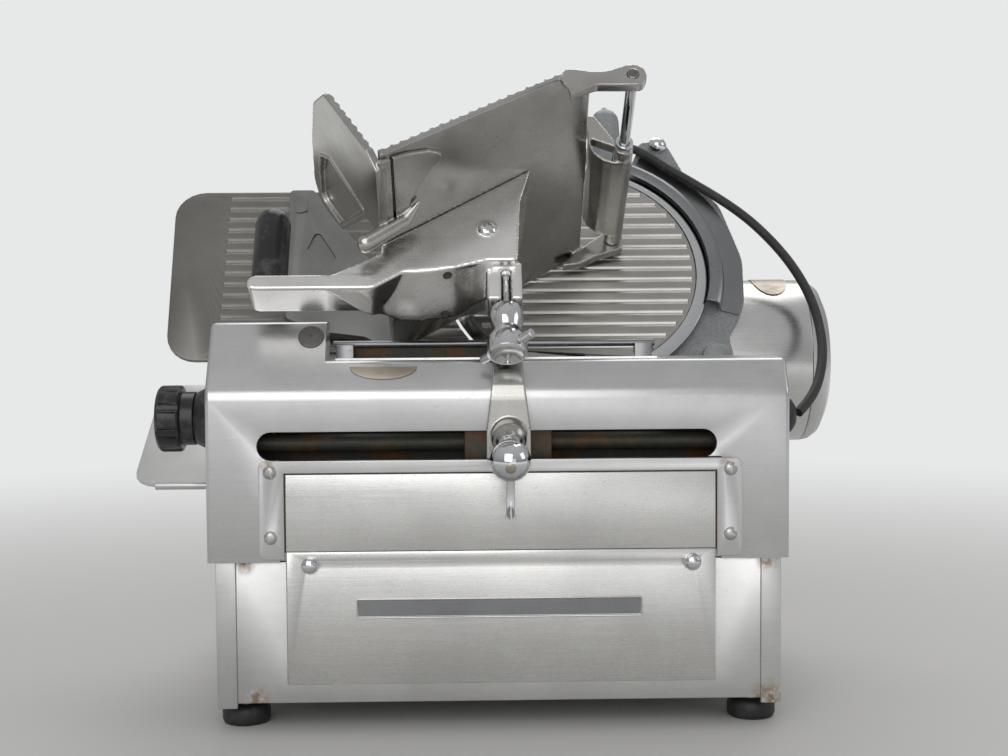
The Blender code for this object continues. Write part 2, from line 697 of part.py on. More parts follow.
def make_drive():
    """The slide rod, the drive plate, the two pulleys, the belt, and the drive motor with its worm."""
    rod("slide_rod", (-ROD_HALF_LENGTH, ROD_Y, ROD_Z), (ROD_HALF_LENGTH, ROD_Y, ROD_Z), ROD_RADIUS,
        material="chrome")
    plate = block("drive_plate", (-ROD_HALF_LENGTH, PLATE_Y, COVER_BOTTOM),
                  (ROD_HALF_LENGTH, PLATE_Y + PLATE_THICKNESS, PLATE_TOP), material="zinc_steel")
    supports = []
    for side in (-1, 1):
        low, high = sorted((side * ROD_HALF_LENGTH, side * (ROD_HALF_LENGTH - SUPPORT_WIDTH)))
        supports.append(block("support", (low, ROD_Y - 0.013, ROD_Z - 0.014),
            (high, PLATE_Y + 0.001, ROD_Z + 0.014)))
    worm_x = PULLEY_X - WORM_WHEEL_RADIUS - DRIVE_WORM_RADIUS - 0.0004
    lug = block("lug", (worm_x - 0.009, DRIVE_WORM_Y - 0.007, 0.2245),
        (worm_x + 0.009, PLATE_Y + 0.001, 0.2305))
    join(plate, *supports, lug)
    rod_hole = rod("rod_hole", (-0.3, ROD_Y, ROD_Z), (0.3, ROD_Y, ROD_Z), ROD_RADIUS + FIT)
    shaft_hole = rod("shaft_hole", (worm_x, DRIVE_WORM_Y, 0.22), (worm_x, DRIVE_WORM_Y, 0.24),
                     DRIVE_SHAFT_RADIUS + FIT)
    axle_holes = [rod("axle_hole", (x, 0.05, PULLEY_Z), (x, 0.09, PULLEY_Z), AXLE_RADIUS + FIT)
                  for x in (-PULLEY_X, PULLEY_X)]
    rail_way = block("way", (CAM_X - 0.012, 0.05, INDEX_Z - 0.030), (CAM_X + 0.012, 0.09, 0.32))
    cut(plate, rod_hole, shaft_hole, *axle_holes, rail_way)

    width = BELT_WIDTH
    back = PLATE_Y + PLATE_THICKNESS + 0.003
    body = [(AXLE_RADIUS, width + 0.002), (AXLE_RADIUS, width), (PULLEY_RADIUS, width),
        (PULLEY_RADIUS, 0.0)]
    start = BELT_FRONT
    idler = turned("idler_pulley", [(0.0, back - start), (AXLE_RADIUS, back - start)] + body[1:]
                   + [(0.0, 0.0)], (-PULLEY_X, start, PULLEY_Z), (-PULLEY_X, 1.0, PULLEY_Z),
                   material="bronze", steps=32)
    wheel_near = DRIVE_WORM_Y - 0.0045 - start
    wheel_far = DRIVE_WORM_Y + 0.0045 - start
    drive = turned("drive_pulley", [(0.0, back - start), (AXLE_RADIUS, back - start), (AXLE_RADIUS,
        wheel_far),
                                    (WORM_WHEEL_RADIUS, wheel_far), (WORM_WHEEL_RADIUS, wheel_near),
                                    (AXLE_RADIUS, wheel_near)] + body[1:] + [(0.0, 0.0)],
                   (PULLEY_X, start, PULLEY_Z), (PULLEY_X, 1.0, PULLEY_Z), material="bronze", steps=32)
    hang_on("idler_axis", (-PULLEY_X, start, PULLEY_Z), BENCH, [idler])
    hang_on("drive_axis", (PULLEY_X, start, PULLEY_Z), BENCH, [drive])

    def loop(radius):
        right = [(PULLEY_X + x, PULLEY_Z + z) for x, z in arc((0.0, 0.0), radius, -90.0, 90.0, 10)]
        left = [(-PULLEY_X + x, PULLEY_Z + z) for x, z in arc((0.0, 0.0), radius, 90.0, 270.0, 10)]
        return right + left

    inner = PULLEY_RADIUS + FIT
    belt = slab("drive_belt", loop(inner + BELT_THICKNESS), start, start + width, material="black_rubber")
    cut(belt, slab("belt_hole", loop(inner), start - 0.01, start + width + 0.01))

    worm = rod("drive_worm", (worm_x, DRIVE_WORM_Y, DRIVE_MOTOR_TOP + FIT), (worm_x, DRIVE_WORM_Y, 0.2325),
               DRIVE_SHAFT_RADIUS, material="bronze")
    join(worm, rod("thread", (worm_x, DRIVE_WORM_Y, 0.190), (worm_x, DRIVE_WORM_Y, 0.220),
        DRIVE_WORM_RADIUS))
    hang_on("worm_axis", (worm_x, DRIVE_WORM_Y, DRIVE_MOTOR_TOP), BENCH, [worm])
    pan_top = CASE_BOTTOM + PAN_THICKNESS + FIT
    motor = DRIVE_MOTOR_RADIUS
    turned("drive_motor", [(0.0, DRIVE_MOTOR_TOP), (0.012, DRIVE_MOTOR_TOP),
        (0.012, DRIVE_MOTOR_TOP - 0.008),
                           (motor - 0.004, DRIVE_MOTOR_TOP - 0.008), (motor, DRIVE_MOTOR_TOP - 0.012),
                           (motor, pan_top + 0.006), (motor + 0.005, pan_top + 0.006),
                           (motor + 0.005, pan_top), (0.0, pan_top)],
           (worm_x, DRIVE_WORM_Y, 0.0), (worm_x, DRIVE_WORM_Y, 1.0), material="cast_iron")


def make_rail():
    """The rail along the top opening, on two lugs that stand on the cover's back."""
    right = 0.150
    left = BLOCK_RIGHT + FIT
    rail = rod("upper_rail", (left, RAIL_Y, RAIL_Z), (right, RAIL_Y, RAIL_Z), RAIL_RADIUS,
               material="brushed_steel", sides=16)
    feet = []
    for x in (left + 0.012, right - 0.012):
        feet.append(block("foot", (x - 0.008, COVER_DEPTH + FIT, COVER_BOTTOM),
            (x + 0.008, COVER_DEPTH + 0.004, 0.338)))
        feet.append(block("cap", (x - 0.008, COVER_DEPTH + FIT, 0.333),
            (x + 0.008, RAIL_Y + 0.002, RAIL_Z)))
    join(rail, *feet)


# The index knob, its cam, and the gauge plate


def make_index():
    """The lobed index knob, the flared collar, and the shaft with its spiral cam."""
    left = INDEX_KNOB_LEFT
    right = INDEX_KNOB_RIGHT
    axis = (INDEX_Y, INDEX_Z)
    knob = turned("index_knob", [
        (0.0, INDEX_NECK_RIGHT - left), (INDEX_NECK_RADIUS, INDEX_NECK_RIGHT - left),
        (INDEX_NECK_RADIUS, right - left), (INDEX_KNOB_RADIUS - 0.002, right - left),
        (INDEX_KNOB_RADIUS, right - left - 0.002), (INDEX_KNOB_RADIUS, 0.003),
        (INDEX_KNOB_RADIUS - 0.003, 0.0),
        (0.0, 0.0)], (left, *axis), (0.0, *axis), material="black_plastic")
    grooves = []
    for index in range(INDEX_LOBES):
        angle = 2 * math.pi * (index + 0.5) / INDEX_LOBES
        y = INDEX_Y + (INDEX_KNOB_RADIUS + 0.0035) * math.cos(angle)
        z = INDEX_Z + (INDEX_KNOB_RADIUS + 0.0035) * math.sin(angle)
        grooves.append(rod("groove", (left - 0.01, y, z), (right + 0.0005, y, z), 0.0055, sides=16))
    cut(knob, *grooves)
    cover_side = -COVER_HALF_WIDTH - FIT
    collar_left = INDEX_NECK_RIGHT + FIT
    length = cover_side - collar_left
    turned("index_collar", [(0.0305, length), (0.0305, length - 0.003), (0.0235, 0.0),
                            (INDEX_SHAFT_RADIUS + 0.0005, 0.0), (INDEX_SHAFT_RADIUS + 0.0005, length)],
           (collar_left, *axis), (0.0, *axis), material="black_plastic")
    shaft = rod("index_shaft", (INDEX_NECK_RIGHT + FIT, *axis), (CAM_X + 0.012, *axis), INDEX_SHAFT_RADIUS,
                material="zinc_steel")
    spiral = []
    steps = 27
    for step in range(steps + 1):
        turn = CAM_TURN * step / steps
        radius = CAM_BASE_RADIUS + CAM_RISE * step / steps
        angle = turn - KNIFE_LEAN
        spiral.append((INDEX_Y + radius * math.cos(angle), INDEX_Z + radius * math.sin(angle)))
    cam = slab("cam", spiral, CAM_X - CAM_WIDTH / 2, CAM_X + CAM_WIDTH / 2, axes=("y", "z"))
    join(shaft, cam)
    hang_on("index_axis", (left, *axis), BENCH, [knob, shaft])


def flute_rods(count, first, left, right, front):
    """Cutters for parallel flutes across the knife frame, at height front over the knife's plane."""
    rods = []
    centre = front + FLUTE_RADIUS - FLUTE_DEPTH
    for index in range(count):
        height = first + index * FLUTE_PITCH
        rods.append(rod("flute", at(left, centre, height), at(right, centre, height), FLUTE_RADIUS, KNIFE,
                        sides=10))
    return rods


def make_gauge():
    """The fluted gauge plate, the support with its push rod, and the bush in the cover's wall."""
    front = -GAUGE_THICKNESS
    plate = slab("gauge_plate", rounded([
        (GAUGE_LEFT + GAUGE_TAPER, GAUGE_BOTTOM, GAUGE_CORNER), (GAUGE_RIGHT, GAUGE_BOTTOM, 0.0),
        (GAUGE_RIGHT, GAUGE_TOP, 0.0), (GAUGE_LEFT, GAUGE_TOP, GAUGE_CORNER)], 6),
        0.0, GAUGE_THICKNESS, KNIFE, material="brushed_steel")
    knife_way = rod("knife_way", at(0.0, -0.02, 0.0), at(0.0, 0.02, 0.0), KNIFE_RADIUS + 0.003, KNIFE,
                    sides=64)
    count = 15
    first = GAUGE_BOTTOM + 0.009
    cut(plate, knife_way, *flute_rods(count, first, GAUGE_FLUTES_LEFT, 0.0, 0.0))

    x = push_rod_point(0.0).x
    low = push_rod_point(0.0).z - 0.012
    support = block("gauge_support", at(x - 0.006, -0.020, low), at(x + 0.006, -0.0135, GAUGE_TOP - 0.02),
                    KNIFE, material="cast_iron")
    pad = block("pad", at(x - 0.030, -0.0145, GAUGE_BOTTOM + 0.012),
        at(x + 0.040, front - FIT, GAUGE_TOP - 0.024),
                KNIFE)
    push = rod("push", push_rod_point(-0.016), push_rod_point(cam_height() - CAM_BASE_RADIUS - 0.0007),
               PUSH_ROD_RADIUS, KNIFE)
    join(support, pad, push)
    hang_on("gauge_axis", push_rod_point(0.0), KNIFE, [plate, support])

    near = BUSH_NEAR
    far = BUSH_FAR
    turned("gauge_bush", [(BUSH_RADIUS, near - far), (BUSH_RADIUS, 0.0), (PUSH_ROD_RADIUS + FIT, 0.0),
                          (PUSH_ROD_RADIUS + FIT, near - far)],
           push_rod_point(far), push_rod_point(near), KNIFE, material="bronze", steps=24)


def make_tray():
    """The slice tray behind the gauge plate, its rolled front edge, and the bracket under it."""
    slope = Matrix.Translation((0.0, TRAY_FRONT[0], TRAY_FRONT[1])) @ Matrix.Rotation(TRAY_SLOPE, 4, "X")
    frame = BENCH @ slope
    tray = slab("slice_tray", rounded([
        (TRAY_LEFT, 0.0, 0.022), (TRAY_RIGHT, 0.0, 0.006), (TRAY_RIGHT, TRAY_LENGTH, 0.006),
        (TRAY_LEFT, TRAY_LENGTH, 0.022)]), 0.0, TRAY_THICKNESS, frame, axes=("x", "y"),
        material="polished_aluminium")
    roll = rod("roll", (TRAY_LEFT + 0.022, 0.001, TRAY_THICKNESS / 2),
        (TRAY_RIGHT - 0.006, 0.001, TRAY_THICKNESS / 2),
               TRAY_ROLL_RADIUS, frame, sides=16)
    join(tray, roll)
    hang_on("tray_axis", (0.0, TRAY_FRONT[0], TRAY_FRONT[1]), BENCH, [tray])
    bracket = block("tray_bracket", (-0.170, 0.190, COVER_BOTTOM), (-0.080, 0.250, 0.320), BENCH,
                    material="zinc_steel")
    room = block("room", (-0.167, 0.18, COVER_BOTTOM + 0.003), (-0.083, 0.26, 0.400), BENCH)
    above = block("above", (-0.3, -0.1, -FIT), (0.3, 0.3, 0.2), frame)
    cut(bracket, room, above)


# The knife, its housing and its motor


def make_knife():
    """The knife with its bevel, the shaft and hub, the worm wheel, the bearing and the fluted cover."""
    out = at(0.0, 1.0, 0.0)
    here = at(0.0, 0.0, 0.0)
    dish = KNIFE_RADIUS - KNIFE_BEVEL_WIDTH
    knife = turned("knife", [
        (dish, 0.0015), (KNIFE_RADIUS, -0.0012), (KNIFE_RADIUS, -0.0018), (KNIFE_RADIUS - 0.008, -0.009),
        (SHAFT_RADIUS + FIT, -0.009), (SHAFT_RADIUS + FIT, -0.0055), (dish, -0.0055)],
        here, out, KNIFE, material="chrome", steps=72)
    radius = dish - COVER_GAP
    tie = -GEAR_CASE_BACK + GEAR_CASE_WALL + FIT
    cover = turned("knife_cover", [(0.0, 0.0015), (radius - 0.001, 0.0015), (radius, 0.0005),
                                   (radius, -0.0052), (TIE_RADIUS, -0.0052), (TIE_RADIUS, tie), (0.0, tie)],
                   here, out, KNIFE,
                   material="polished_aluminium", steps=48)
    flutes = []
    count = 17
    for index in range(count):
        height = (index - (count - 1) / 2) * FLUTE_PITCH
        half = math.sqrt(max((radius - 0.004) ** 2 - height ** 2, 0.0001))
        flutes.extend(flute_rods(1, height, -half, half, 0.0015))
    cut(cover, *flutes)
    hang_on("cover_axis", here, KNIFE, [cover])

    shaft = turned("knife_shaft", [
        (TIE_RADIUS + FIT, -0.0058), (SHAFT_RADIUS, -0.0058), (SHAFT_RADIUS, -0.0093),
        (HUB_RADIUS, -0.0093),
        (HUB_RADIUS, -0.018), (SHAFT_RADIUS, -0.018), (SHAFT_RADIUS, -0.138), (TIE_RADIUS + FIT, -0.138)],
        here, out, KNIFE, material="zinc_steel", steps=32)
    wheel_radius = worm_distance() - MOTOR_WORM_RADIUS - 0.0004
    depth = motor_depth()
    wheel = turned("worm_wheel", [
        (wheel_radius, 0.007), (wheel_radius, -0.007), (SHAFT_RADIUS + FIT, -0.007),
        (SHAFT_RADIUS + FIT, 0.007)],
        at(0.0, -depth, 0.0), at(0.0, 1.0, 0.0), KNIFE, material="bronze", steps=40)
    hang_on("knife_axis", here, KNIFE, [knife, shaft, wheel])
    turned("knife_bearing", [
        (CASE_BORE - FIT, 0.0), (CASE_BORE - FIT, -0.016), (SHAFT_RADIUS + FIT, -0.016),
        (SHAFT_RADIUS + FIT, 0.0)],
        at(0.0, -CASTING_BACK - 0.003, 0.0), at(0.0, 1.0, 0.0), KNIFE, material="zinc_steel", steps=40)


def motor_depth():
    """How far the motor's axis is behind the knife's plane."""
    y = MOTOR_Y - KNIFE_CENTRE.y
    z = MOTOR_Z - KNIFE_CENTRE.z
    return y * math.cos(KNIFE_LEAN) - z * math.sin(KNIFE_LEAN)


def worm_distance():
    """How far the motor's axis is below the knife's axis."""
    y = MOTOR_Y - KNIFE_CENTRE.y
    z = MOTOR_Z - KNIFE_CENTRE.z
    return -(y * math.sin(KNIFE_LEAN) + z * math.cos(KNIFE_LEAN))


def make_housing():
    """The cast plate behind the knife, the ring guard, the nut, the gear case and its pedestal."""
    outline = rounded([
        (0.062, 0.138, 0.0), (0.0712, 0.1600, 0.006), (0.0742, 0.1715, 0.006), (0.085, 0.1735, 0.010),
        (0.1035, 0.1690, 0.012),
        (0.1230, 0.1190, 0.030), (0.152, 0.0900, 0.040), (0.170, 0.0200, 0.060), (0.167, -0.0350, 0.040),
        (0.148, -0.0720, 0.014), (0.152, -0.1050, 0.010), (0.128, -0.1250, 0.010), (0.060, -0.150, 0.010),
        (-0.060, -0.130, 0.010), (-0.052, 0.020, 0.030), (0.000, 0.138, 0.020)], 4)
    casting = slab("knife_housing", outline, CASTING_FRONT, CASTING_BACK, KNIFE, material="blue_grey_paint")
    boss = rod("boss", at(BOSS_CENTRE[0], -CASTING_BACK + 0.001, BOSS_CENTRE[1]),
               at(BOSS_CENTRE[0], -0.006, BOSS_CENTRE[1]), BOSS_RADIUS, KNIFE)
    bore = rod("bore", at(0.0, -0.05, 0.0), at(0.0, 0.0, 0.0), CASE_BORE, KNIFE, sides=40)
    ear_hole = rod("ear_hole", at(EAR_CENTRE[0], -0.05, EAR_CENTRE[1]),
        at(EAR_CENTRE[0], 0.0, EAR_CENTRE[1]),
                   0.0035, KNIFE, sides=12)
    join(casting, boss)
    cut(casting, bore, ear_hole)

    face = at(EAR_CENTRE[0], -CASTING_FRONT + FIT, EAR_CENTRE[1])
    turned("acorn_nut", [(0.0, 0.0105), (0.004, 0.0098), (0.0075, 0.0072), (ACORN_RADIUS, 0.003),
                         (ACORN_RADIUS, 0.0), (0.0032, 0.0), (0.0032, -0.010), (0.0, -0.010)],
           face, face + at(0.0, 1.0, 0.0), KNIFE, material="chrome", steps=24)

    inner = KNIFE_RADIUS + 0.001
    rise = GUARD_TUNNEL_OUTER
    low = -CASTING_FRONT + FIT
    sheet = GUARD_SHEET
    guard = turned("ring_guard", [
        (inner, 0.0035), (rise - 0.004, 0.0045), (rise, 0.0025), (rise + 0.003, low + sheet),
        (GUARD_OUTER, low + sheet), (GUARD_OUTER, low), (rise + 0.0015, low), (rise - 0.0015, 0.0012),
        (rise - 0.005, 0.0028), (inner, 0.0019)],
        at(0.0, 0.0, 0.0), at(0.0, 1.0, 0.0), KNIFE, material="brushed_steel", steps=72)
    reach = 0.4
    wedge = [(0.0, 0.0)]
    for step in range(5):
        angle = GUARD_START + (GUARD_END - GUARD_START) * step / 4
        wedge.append((reach * math.cos(angle), reach * math.sin(angle)))
    combine(guard, "INTERSECT", [slab("wedge", wedge, -0.05, 0.05, KNIFE)])

    back = GEAR_CASE_BACK
    wall = GEAR_CASE_WALL
    outer = GEAR_CASE_RADIUS
    start = CASTING_BACK + FIT
    case = turned("gear_case", [
        (CASE_BORE, -start), (outer, -start), (outer, -back), (0.0, -back), (0.0, -back + wall),
        (outer - wall, -back + wall), (outer - wall, -start - 0.020), (CASE_BORE, -start - 0.020)],
        at(0.0, 0.0, 0.0), at(0.0, 1.0, 0.0), KNIFE, material="blue_grey_paint", steps=40)
    right = MOTOR_LEFT - FIT
    pedestal = block("pedestal", (PEDESTAL_LEFT, PEDESTAL_FRONT, COVER_BOTTOM),
        (right, PEDESTAL_BACK, PEDESTAL_TOP))
    hollow = block("pedestal_hollow", (PEDESTAL_LEFT + PEDESTAL_WALL, PEDESTAL_FRONT + PEDESTAL_WALL, 0.10),
                   (right - PEDESTAL_WALL, PEDESTAL_BACK - PEDESTAL_WALL, 0.285))
    inside = rod("inside", at(0.0, -back + wall - 0.0002, 0.0), at(0.0, -start - 0.0198, 0.0),
                 outer - wall + 0.0002, KNIFE, sides=40)
    tunnel = rod("tunnel", (KNIFE_CENTRE.x - 0.030, MOTOR_Y, MOTOR_Z), (0.20, MOTOR_Y, MOTOR_Z), 0.0125)
    join(case, pedestal)
    cut(case, hollow, inside, tunnel)


def make_motor():
    """The motor drum, its end cap, and the rotor with the worm that turns the knife."""
    axis = (MOTOR_Y, MOTOR_Z)
    length = MOTOR_SEAM - MOTOR_LEFT
    inner = MOTOR_RADIUS - MOTOR_WALL
    turned("motor_drum", [
        (MOTOR_RADIUS, length), (MOTOR_RADIUS, 0.004), (MOTOR_RADIUS - 0.004, 0.0), (0.0125, 0.0),
        (0.0125, 0.006),
        (inner, 0.006), (inner, STATOR_START), (ROTOR_RADIUS + 0.001, STATOR_START),
        (ROTOR_RADIUS + 0.001, STATOR_END), (inner, STATOR_END), (inner, length)],
        (MOTOR_LEFT, *axis), (1.0, *axis), material="polished_aluminium", steps=56)
    depth = MOTOR_RIGHT - MOTOR_SEAM - FIT
    turned("motor_cap", [
        (0.0, depth), (0.040, depth - 0.0005), (0.064, depth - 0.004), (0.077, depth - 0.010),
        (0.0825, 0.008), (MOTOR_RADIUS, 0.0), (inner, 0.0), (inner - 0.002, 0.006), (0.070, depth - 0.014),
        (0.040, depth - 0.005), (0.0, depth - 0.0045)],
        (MOTOR_SEAM + FIT, *axis), (1.0, *axis), material="satin_aluminium", steps=56)
    rotor = turned("motor_rotor", [
        (0.0, MOTOR_SEAM - 0.006), (MOTOR_SHAFT_RADIUS, MOTOR_SEAM - 0.006),
        (MOTOR_SHAFT_RADIUS, ROTOR_END), (ROTOR_RADIUS, ROTOR_END), (ROTOR_RADIUS, ROTOR_START),
        (MOTOR_SHAFT_RADIUS, ROTOR_START), (MOTOR_SHAFT_RADIUS, KNIFE_CENTRE.x + 0.020),
        (MOTOR_WORM_RADIUS, KNIFE_CENTRE.x + 0.018), (MOTOR_WORM_RADIUS, KNIFE_CENTRE.x - 0.018),
        (MOTOR_SHAFT_RADIUS, KNIFE_CENTRE.x - 0.020), (MOTOR_SHAFT_RADIUS, KNIFE_CENTRE.x - 0.028),
        (0.0, KNIFE_CENTRE.x - 0.028)],
        (0.0, *axis), (1.0, *axis), material="zinc_steel", steps=32)
    hang_on("motor_axis", (MOTOR_LEFT, *axis), BENCH, [rotor])


def make_sharpener():
    """The sharpener's body behind the casting and its stone at the knife's edge."""
    body = block("sharpener_body", at(-0.030, -0.050, 0.138), at(0.020, -CASTING_BACK - FIT, 0.165), KNIFE,
                 material="cast_iron")
    centre = (-0.015, 0.1475)
    stone = turned("sharpener_stone", [
        (0.0, -0.006), (0.013, -0.006), (0.013, -0.013), (0.003, -0.013), (0.003, -0.040), (0.0, -0.040)],
        at(centre[0], 0.0, centre[1]), at(centre[0], 1.0, centre[1]), KNIFE, material="abrasive", steps=24)
    cut(body, rod("spindle_hole", at(centre[0], -0.042, centre[1]), at(centre[0], 0.0, centre[1]), 0.0033,
        KNIFE))
    hang_on("stone_axis", at(centre[0], 0.0, centre[1]), KNIFE, [stone])


def make_switch():
    """The domed switch post on the gear case, its toggle, and the lead with its grommet."""
    x = SWITCH_X
    n = -SWITCH_Y
    shoulder = SWITCH_TOP - SWITCH_RADIUS
    dome = [(SWITCH_RADIUS * math.cos(math.radians(a)),
        shoulder + SWITCH_RADIUS * math.sin(math.radians(a)))
            for a in (90, 72, 54, 36, 18, 0)]
    dome[0] = (0.0, SWITCH_TOP)
    foot = 0.024
    post = turned("switch_post", dome + [(SWITCH_RADIUS, foot), (0.0, foot)], at(x, n, 0.0),
        at(x, n, 1.0), KNIFE,
                  material="blue_grey_paint", steps=32)
    case_room = rod("case_room", at(0.0, -0.2, 0.0), at(0.0, 0.0, 0.0), GEAR_CASE_RADIUS + FIT, KNIFE,
        sides=40)
    well = rod("well", at(x, n, SWITCH_TOP - 0.012), at(x, n, SWITCH_TOP + 0.01), TOGGLE_RADIUS + 0.0042,
        KNIFE)
    drum_room = rod("drum_room", (MOTOR_LEFT - FIT, MOTOR_Y, MOTOR_Z), (0.2, MOTOR_Y, MOTOR_Z),
                    MOTOR_RADIUS + FIT, sides=56)
    cut(post, case_room, drum_room, well)
    base = SWITCH_TOP - 0.012 + FIT
    toggle = turned("switch_toggle", [
        (0.0, 0.0165), (0.0028, 0.0165), (0.002, 0.008), (TOGGLE_RADIUS, 0.0045), (TOGGLE_RADIUS, 0.0014),
        (0.0009, 0.0),
        (0.0, 0.0)], at(x, n, base), at(x, n, 1.0), KNIFE, material="chrome", steps=16)
    hang_on("toggle_axis", at(x, n, base), KNIFE, [toggle])

    side = COVER_HALF_WIDTH + FIT
    turned("lead_grommet", [
        (0.0, GROMMET_LENGTH), (0.009, GROMMET_LENGTH), (0.015, GROMMET_LENGTH - 0.004),
        (0.019, GROMMET_LENGTH - 0.010), (GROMMET_RADIUS, 0.0), (0.0, 0.0)],
        (side, GROMMET_Y, GROMMET_Z), (1.0, GROMMET_Y, GROMMET_Z), material="black_rubber", steps=32)
    make_lead()


def lead_route():
    """The lead's own points in the bench frame, from the grommet to the switch post."""
    start = COVER_HALF_WIDTH + FIT + GROMMET_LENGTH + 0.0036
    bench = [
        (start, 0.0620, 0.2775), (0.2885, 0.0700, 0.2850), (0.2990, 0.0820, 0.2960),
        (0.3078, 0.0980, 0.3110), (0.3140, 0.1160, 0.3290), (0.3170, 0.1370, 0.3500),
        (0.3150, 0.1600, 0.3760), (0.3060, 0.1830, 0.4040), (0.2900, 0.2050, 0.4320),
        (0.2660, 0.2235, 0.4600)]
    knife = [(0.1575, -0.004, 0.0860), (0.1275, -0.004, 0.1105), (0.0980, -0.004, 0.1335),
             (0.0796, -0.004, 0.1494), (0.0682, -0.0067, 0.1590), (0.0590, -0.0149, 0.1672),
             (0.0534, -0.0272, 0.1724)]
    end = (0.0518, -0.0445, 0.1742)
    lean = Matrix.Translation(KNIFE_CENTRE) @ Matrix.Rotation(-KNIFE_LEAN, 4, "X")
    leaned = [tuple(lean @ at(x, n, u)) for x, n, u in knife + [end]]
    return [Vector(p) for p in bench + leaned]


def smooth_line(points, count):
    """count points along a Catmull-Rom curve through points."""
    ends = [points[0] * 2 - points[1]] + points + [points[-1] * 2 - points[-2]]
    line = []
    spans = len(points) - 1
    for index in range(count):
        place = spans * index / (count - 1)
        span = min(int(place), spans - 1)
        t = place - span
        a, b, c, d = ends[span:span + 4]
        line.append(((b * 2) + (c - a) * t + (a * 2 - b * 5 + c * 4 - d) * t * t
                     + (b * 3 - a - c * 3 + d) * t * t * t) / 2)
    return line


def make_lead():
    """The black lead between the cover and the switch post."""
    curve = bpy.data.curves.new("lead", "CURVE")
    curve.dimensions = "3D"
    curve.bevel_depth = LEAD_RADIUS
    curve.bevel_resolution = 3
    curve.use_fill_caps = True
    line = smooth_line(lead_route(), 40)
    spline = curve.splines.new("POLY")
    spline.points.add(len(line) - 1)
    for point, place in zip(spline.points, line):
        point.co = (*place, 1.0)
    obj = bpy.data.objects.new("lead", curve)
    PARTS.objects.link(obj)
    made = as_mesh(obj)
    settle(made, "lead", BENCH, "black_rubber", smooth=True)


# The carriage


def front_offset(distance):
    """The side outline's points of a strip that follows the cover's front at a distance, in (Y, Z)."""
    back_step = distance * math.tan(KNIFE_LEAN / 2)
    fold_z = FOLD_HEIGHT + distance * math.sin(KNIFE_LEAN) - back_step * math.cos(KNIFE_LEAN)
    return (-distance, fold_z)


def make_slide():
    """The slide block with its tongue through the slot and its drive dog."""
    x = CARRIAGE_X
    half = BLOCK_WIDTH / 2
    slide = block("slide_block", (x - half, BLOCK_FRONT, ROD_Z - BLOCK_HEIGHT / 2),
                  (x + half, BLOCK_BACK, ROD_Z + BLOCK_HEIGHT / 2), material="cast_iron")
    tongue = block("tongue", (x - 0.018, -ARM_GAP + FIT, SLOT_BOTTOM + 0.004),
                   (x + 0.018, BLOCK_FRONT + 0.001, SLOT_BOTTOM + SLOT_HEIGHT - 0.004))
    dog_bottom = PULLEY_Z + PULLEY_RADIUS + BELT_THICKNESS + 2 * FIT
    dog = block("dog", (x - 0.009, BELT_FRONT + 0.001, dog_bottom),
                (x + 0.009, BELT_FRONT + BELT_WIDTH - 0.001, ROD_Z - BLOCK_HEIGHT / 2 + 0.001))
    join(slide, tongue, dog)
    cut(slide, rod("way", (-0.3, ROD_Y, ROD_Z), (0.3, ROD_Y, ROD_Z), ROD_RADIUS + FIT))
    return slide


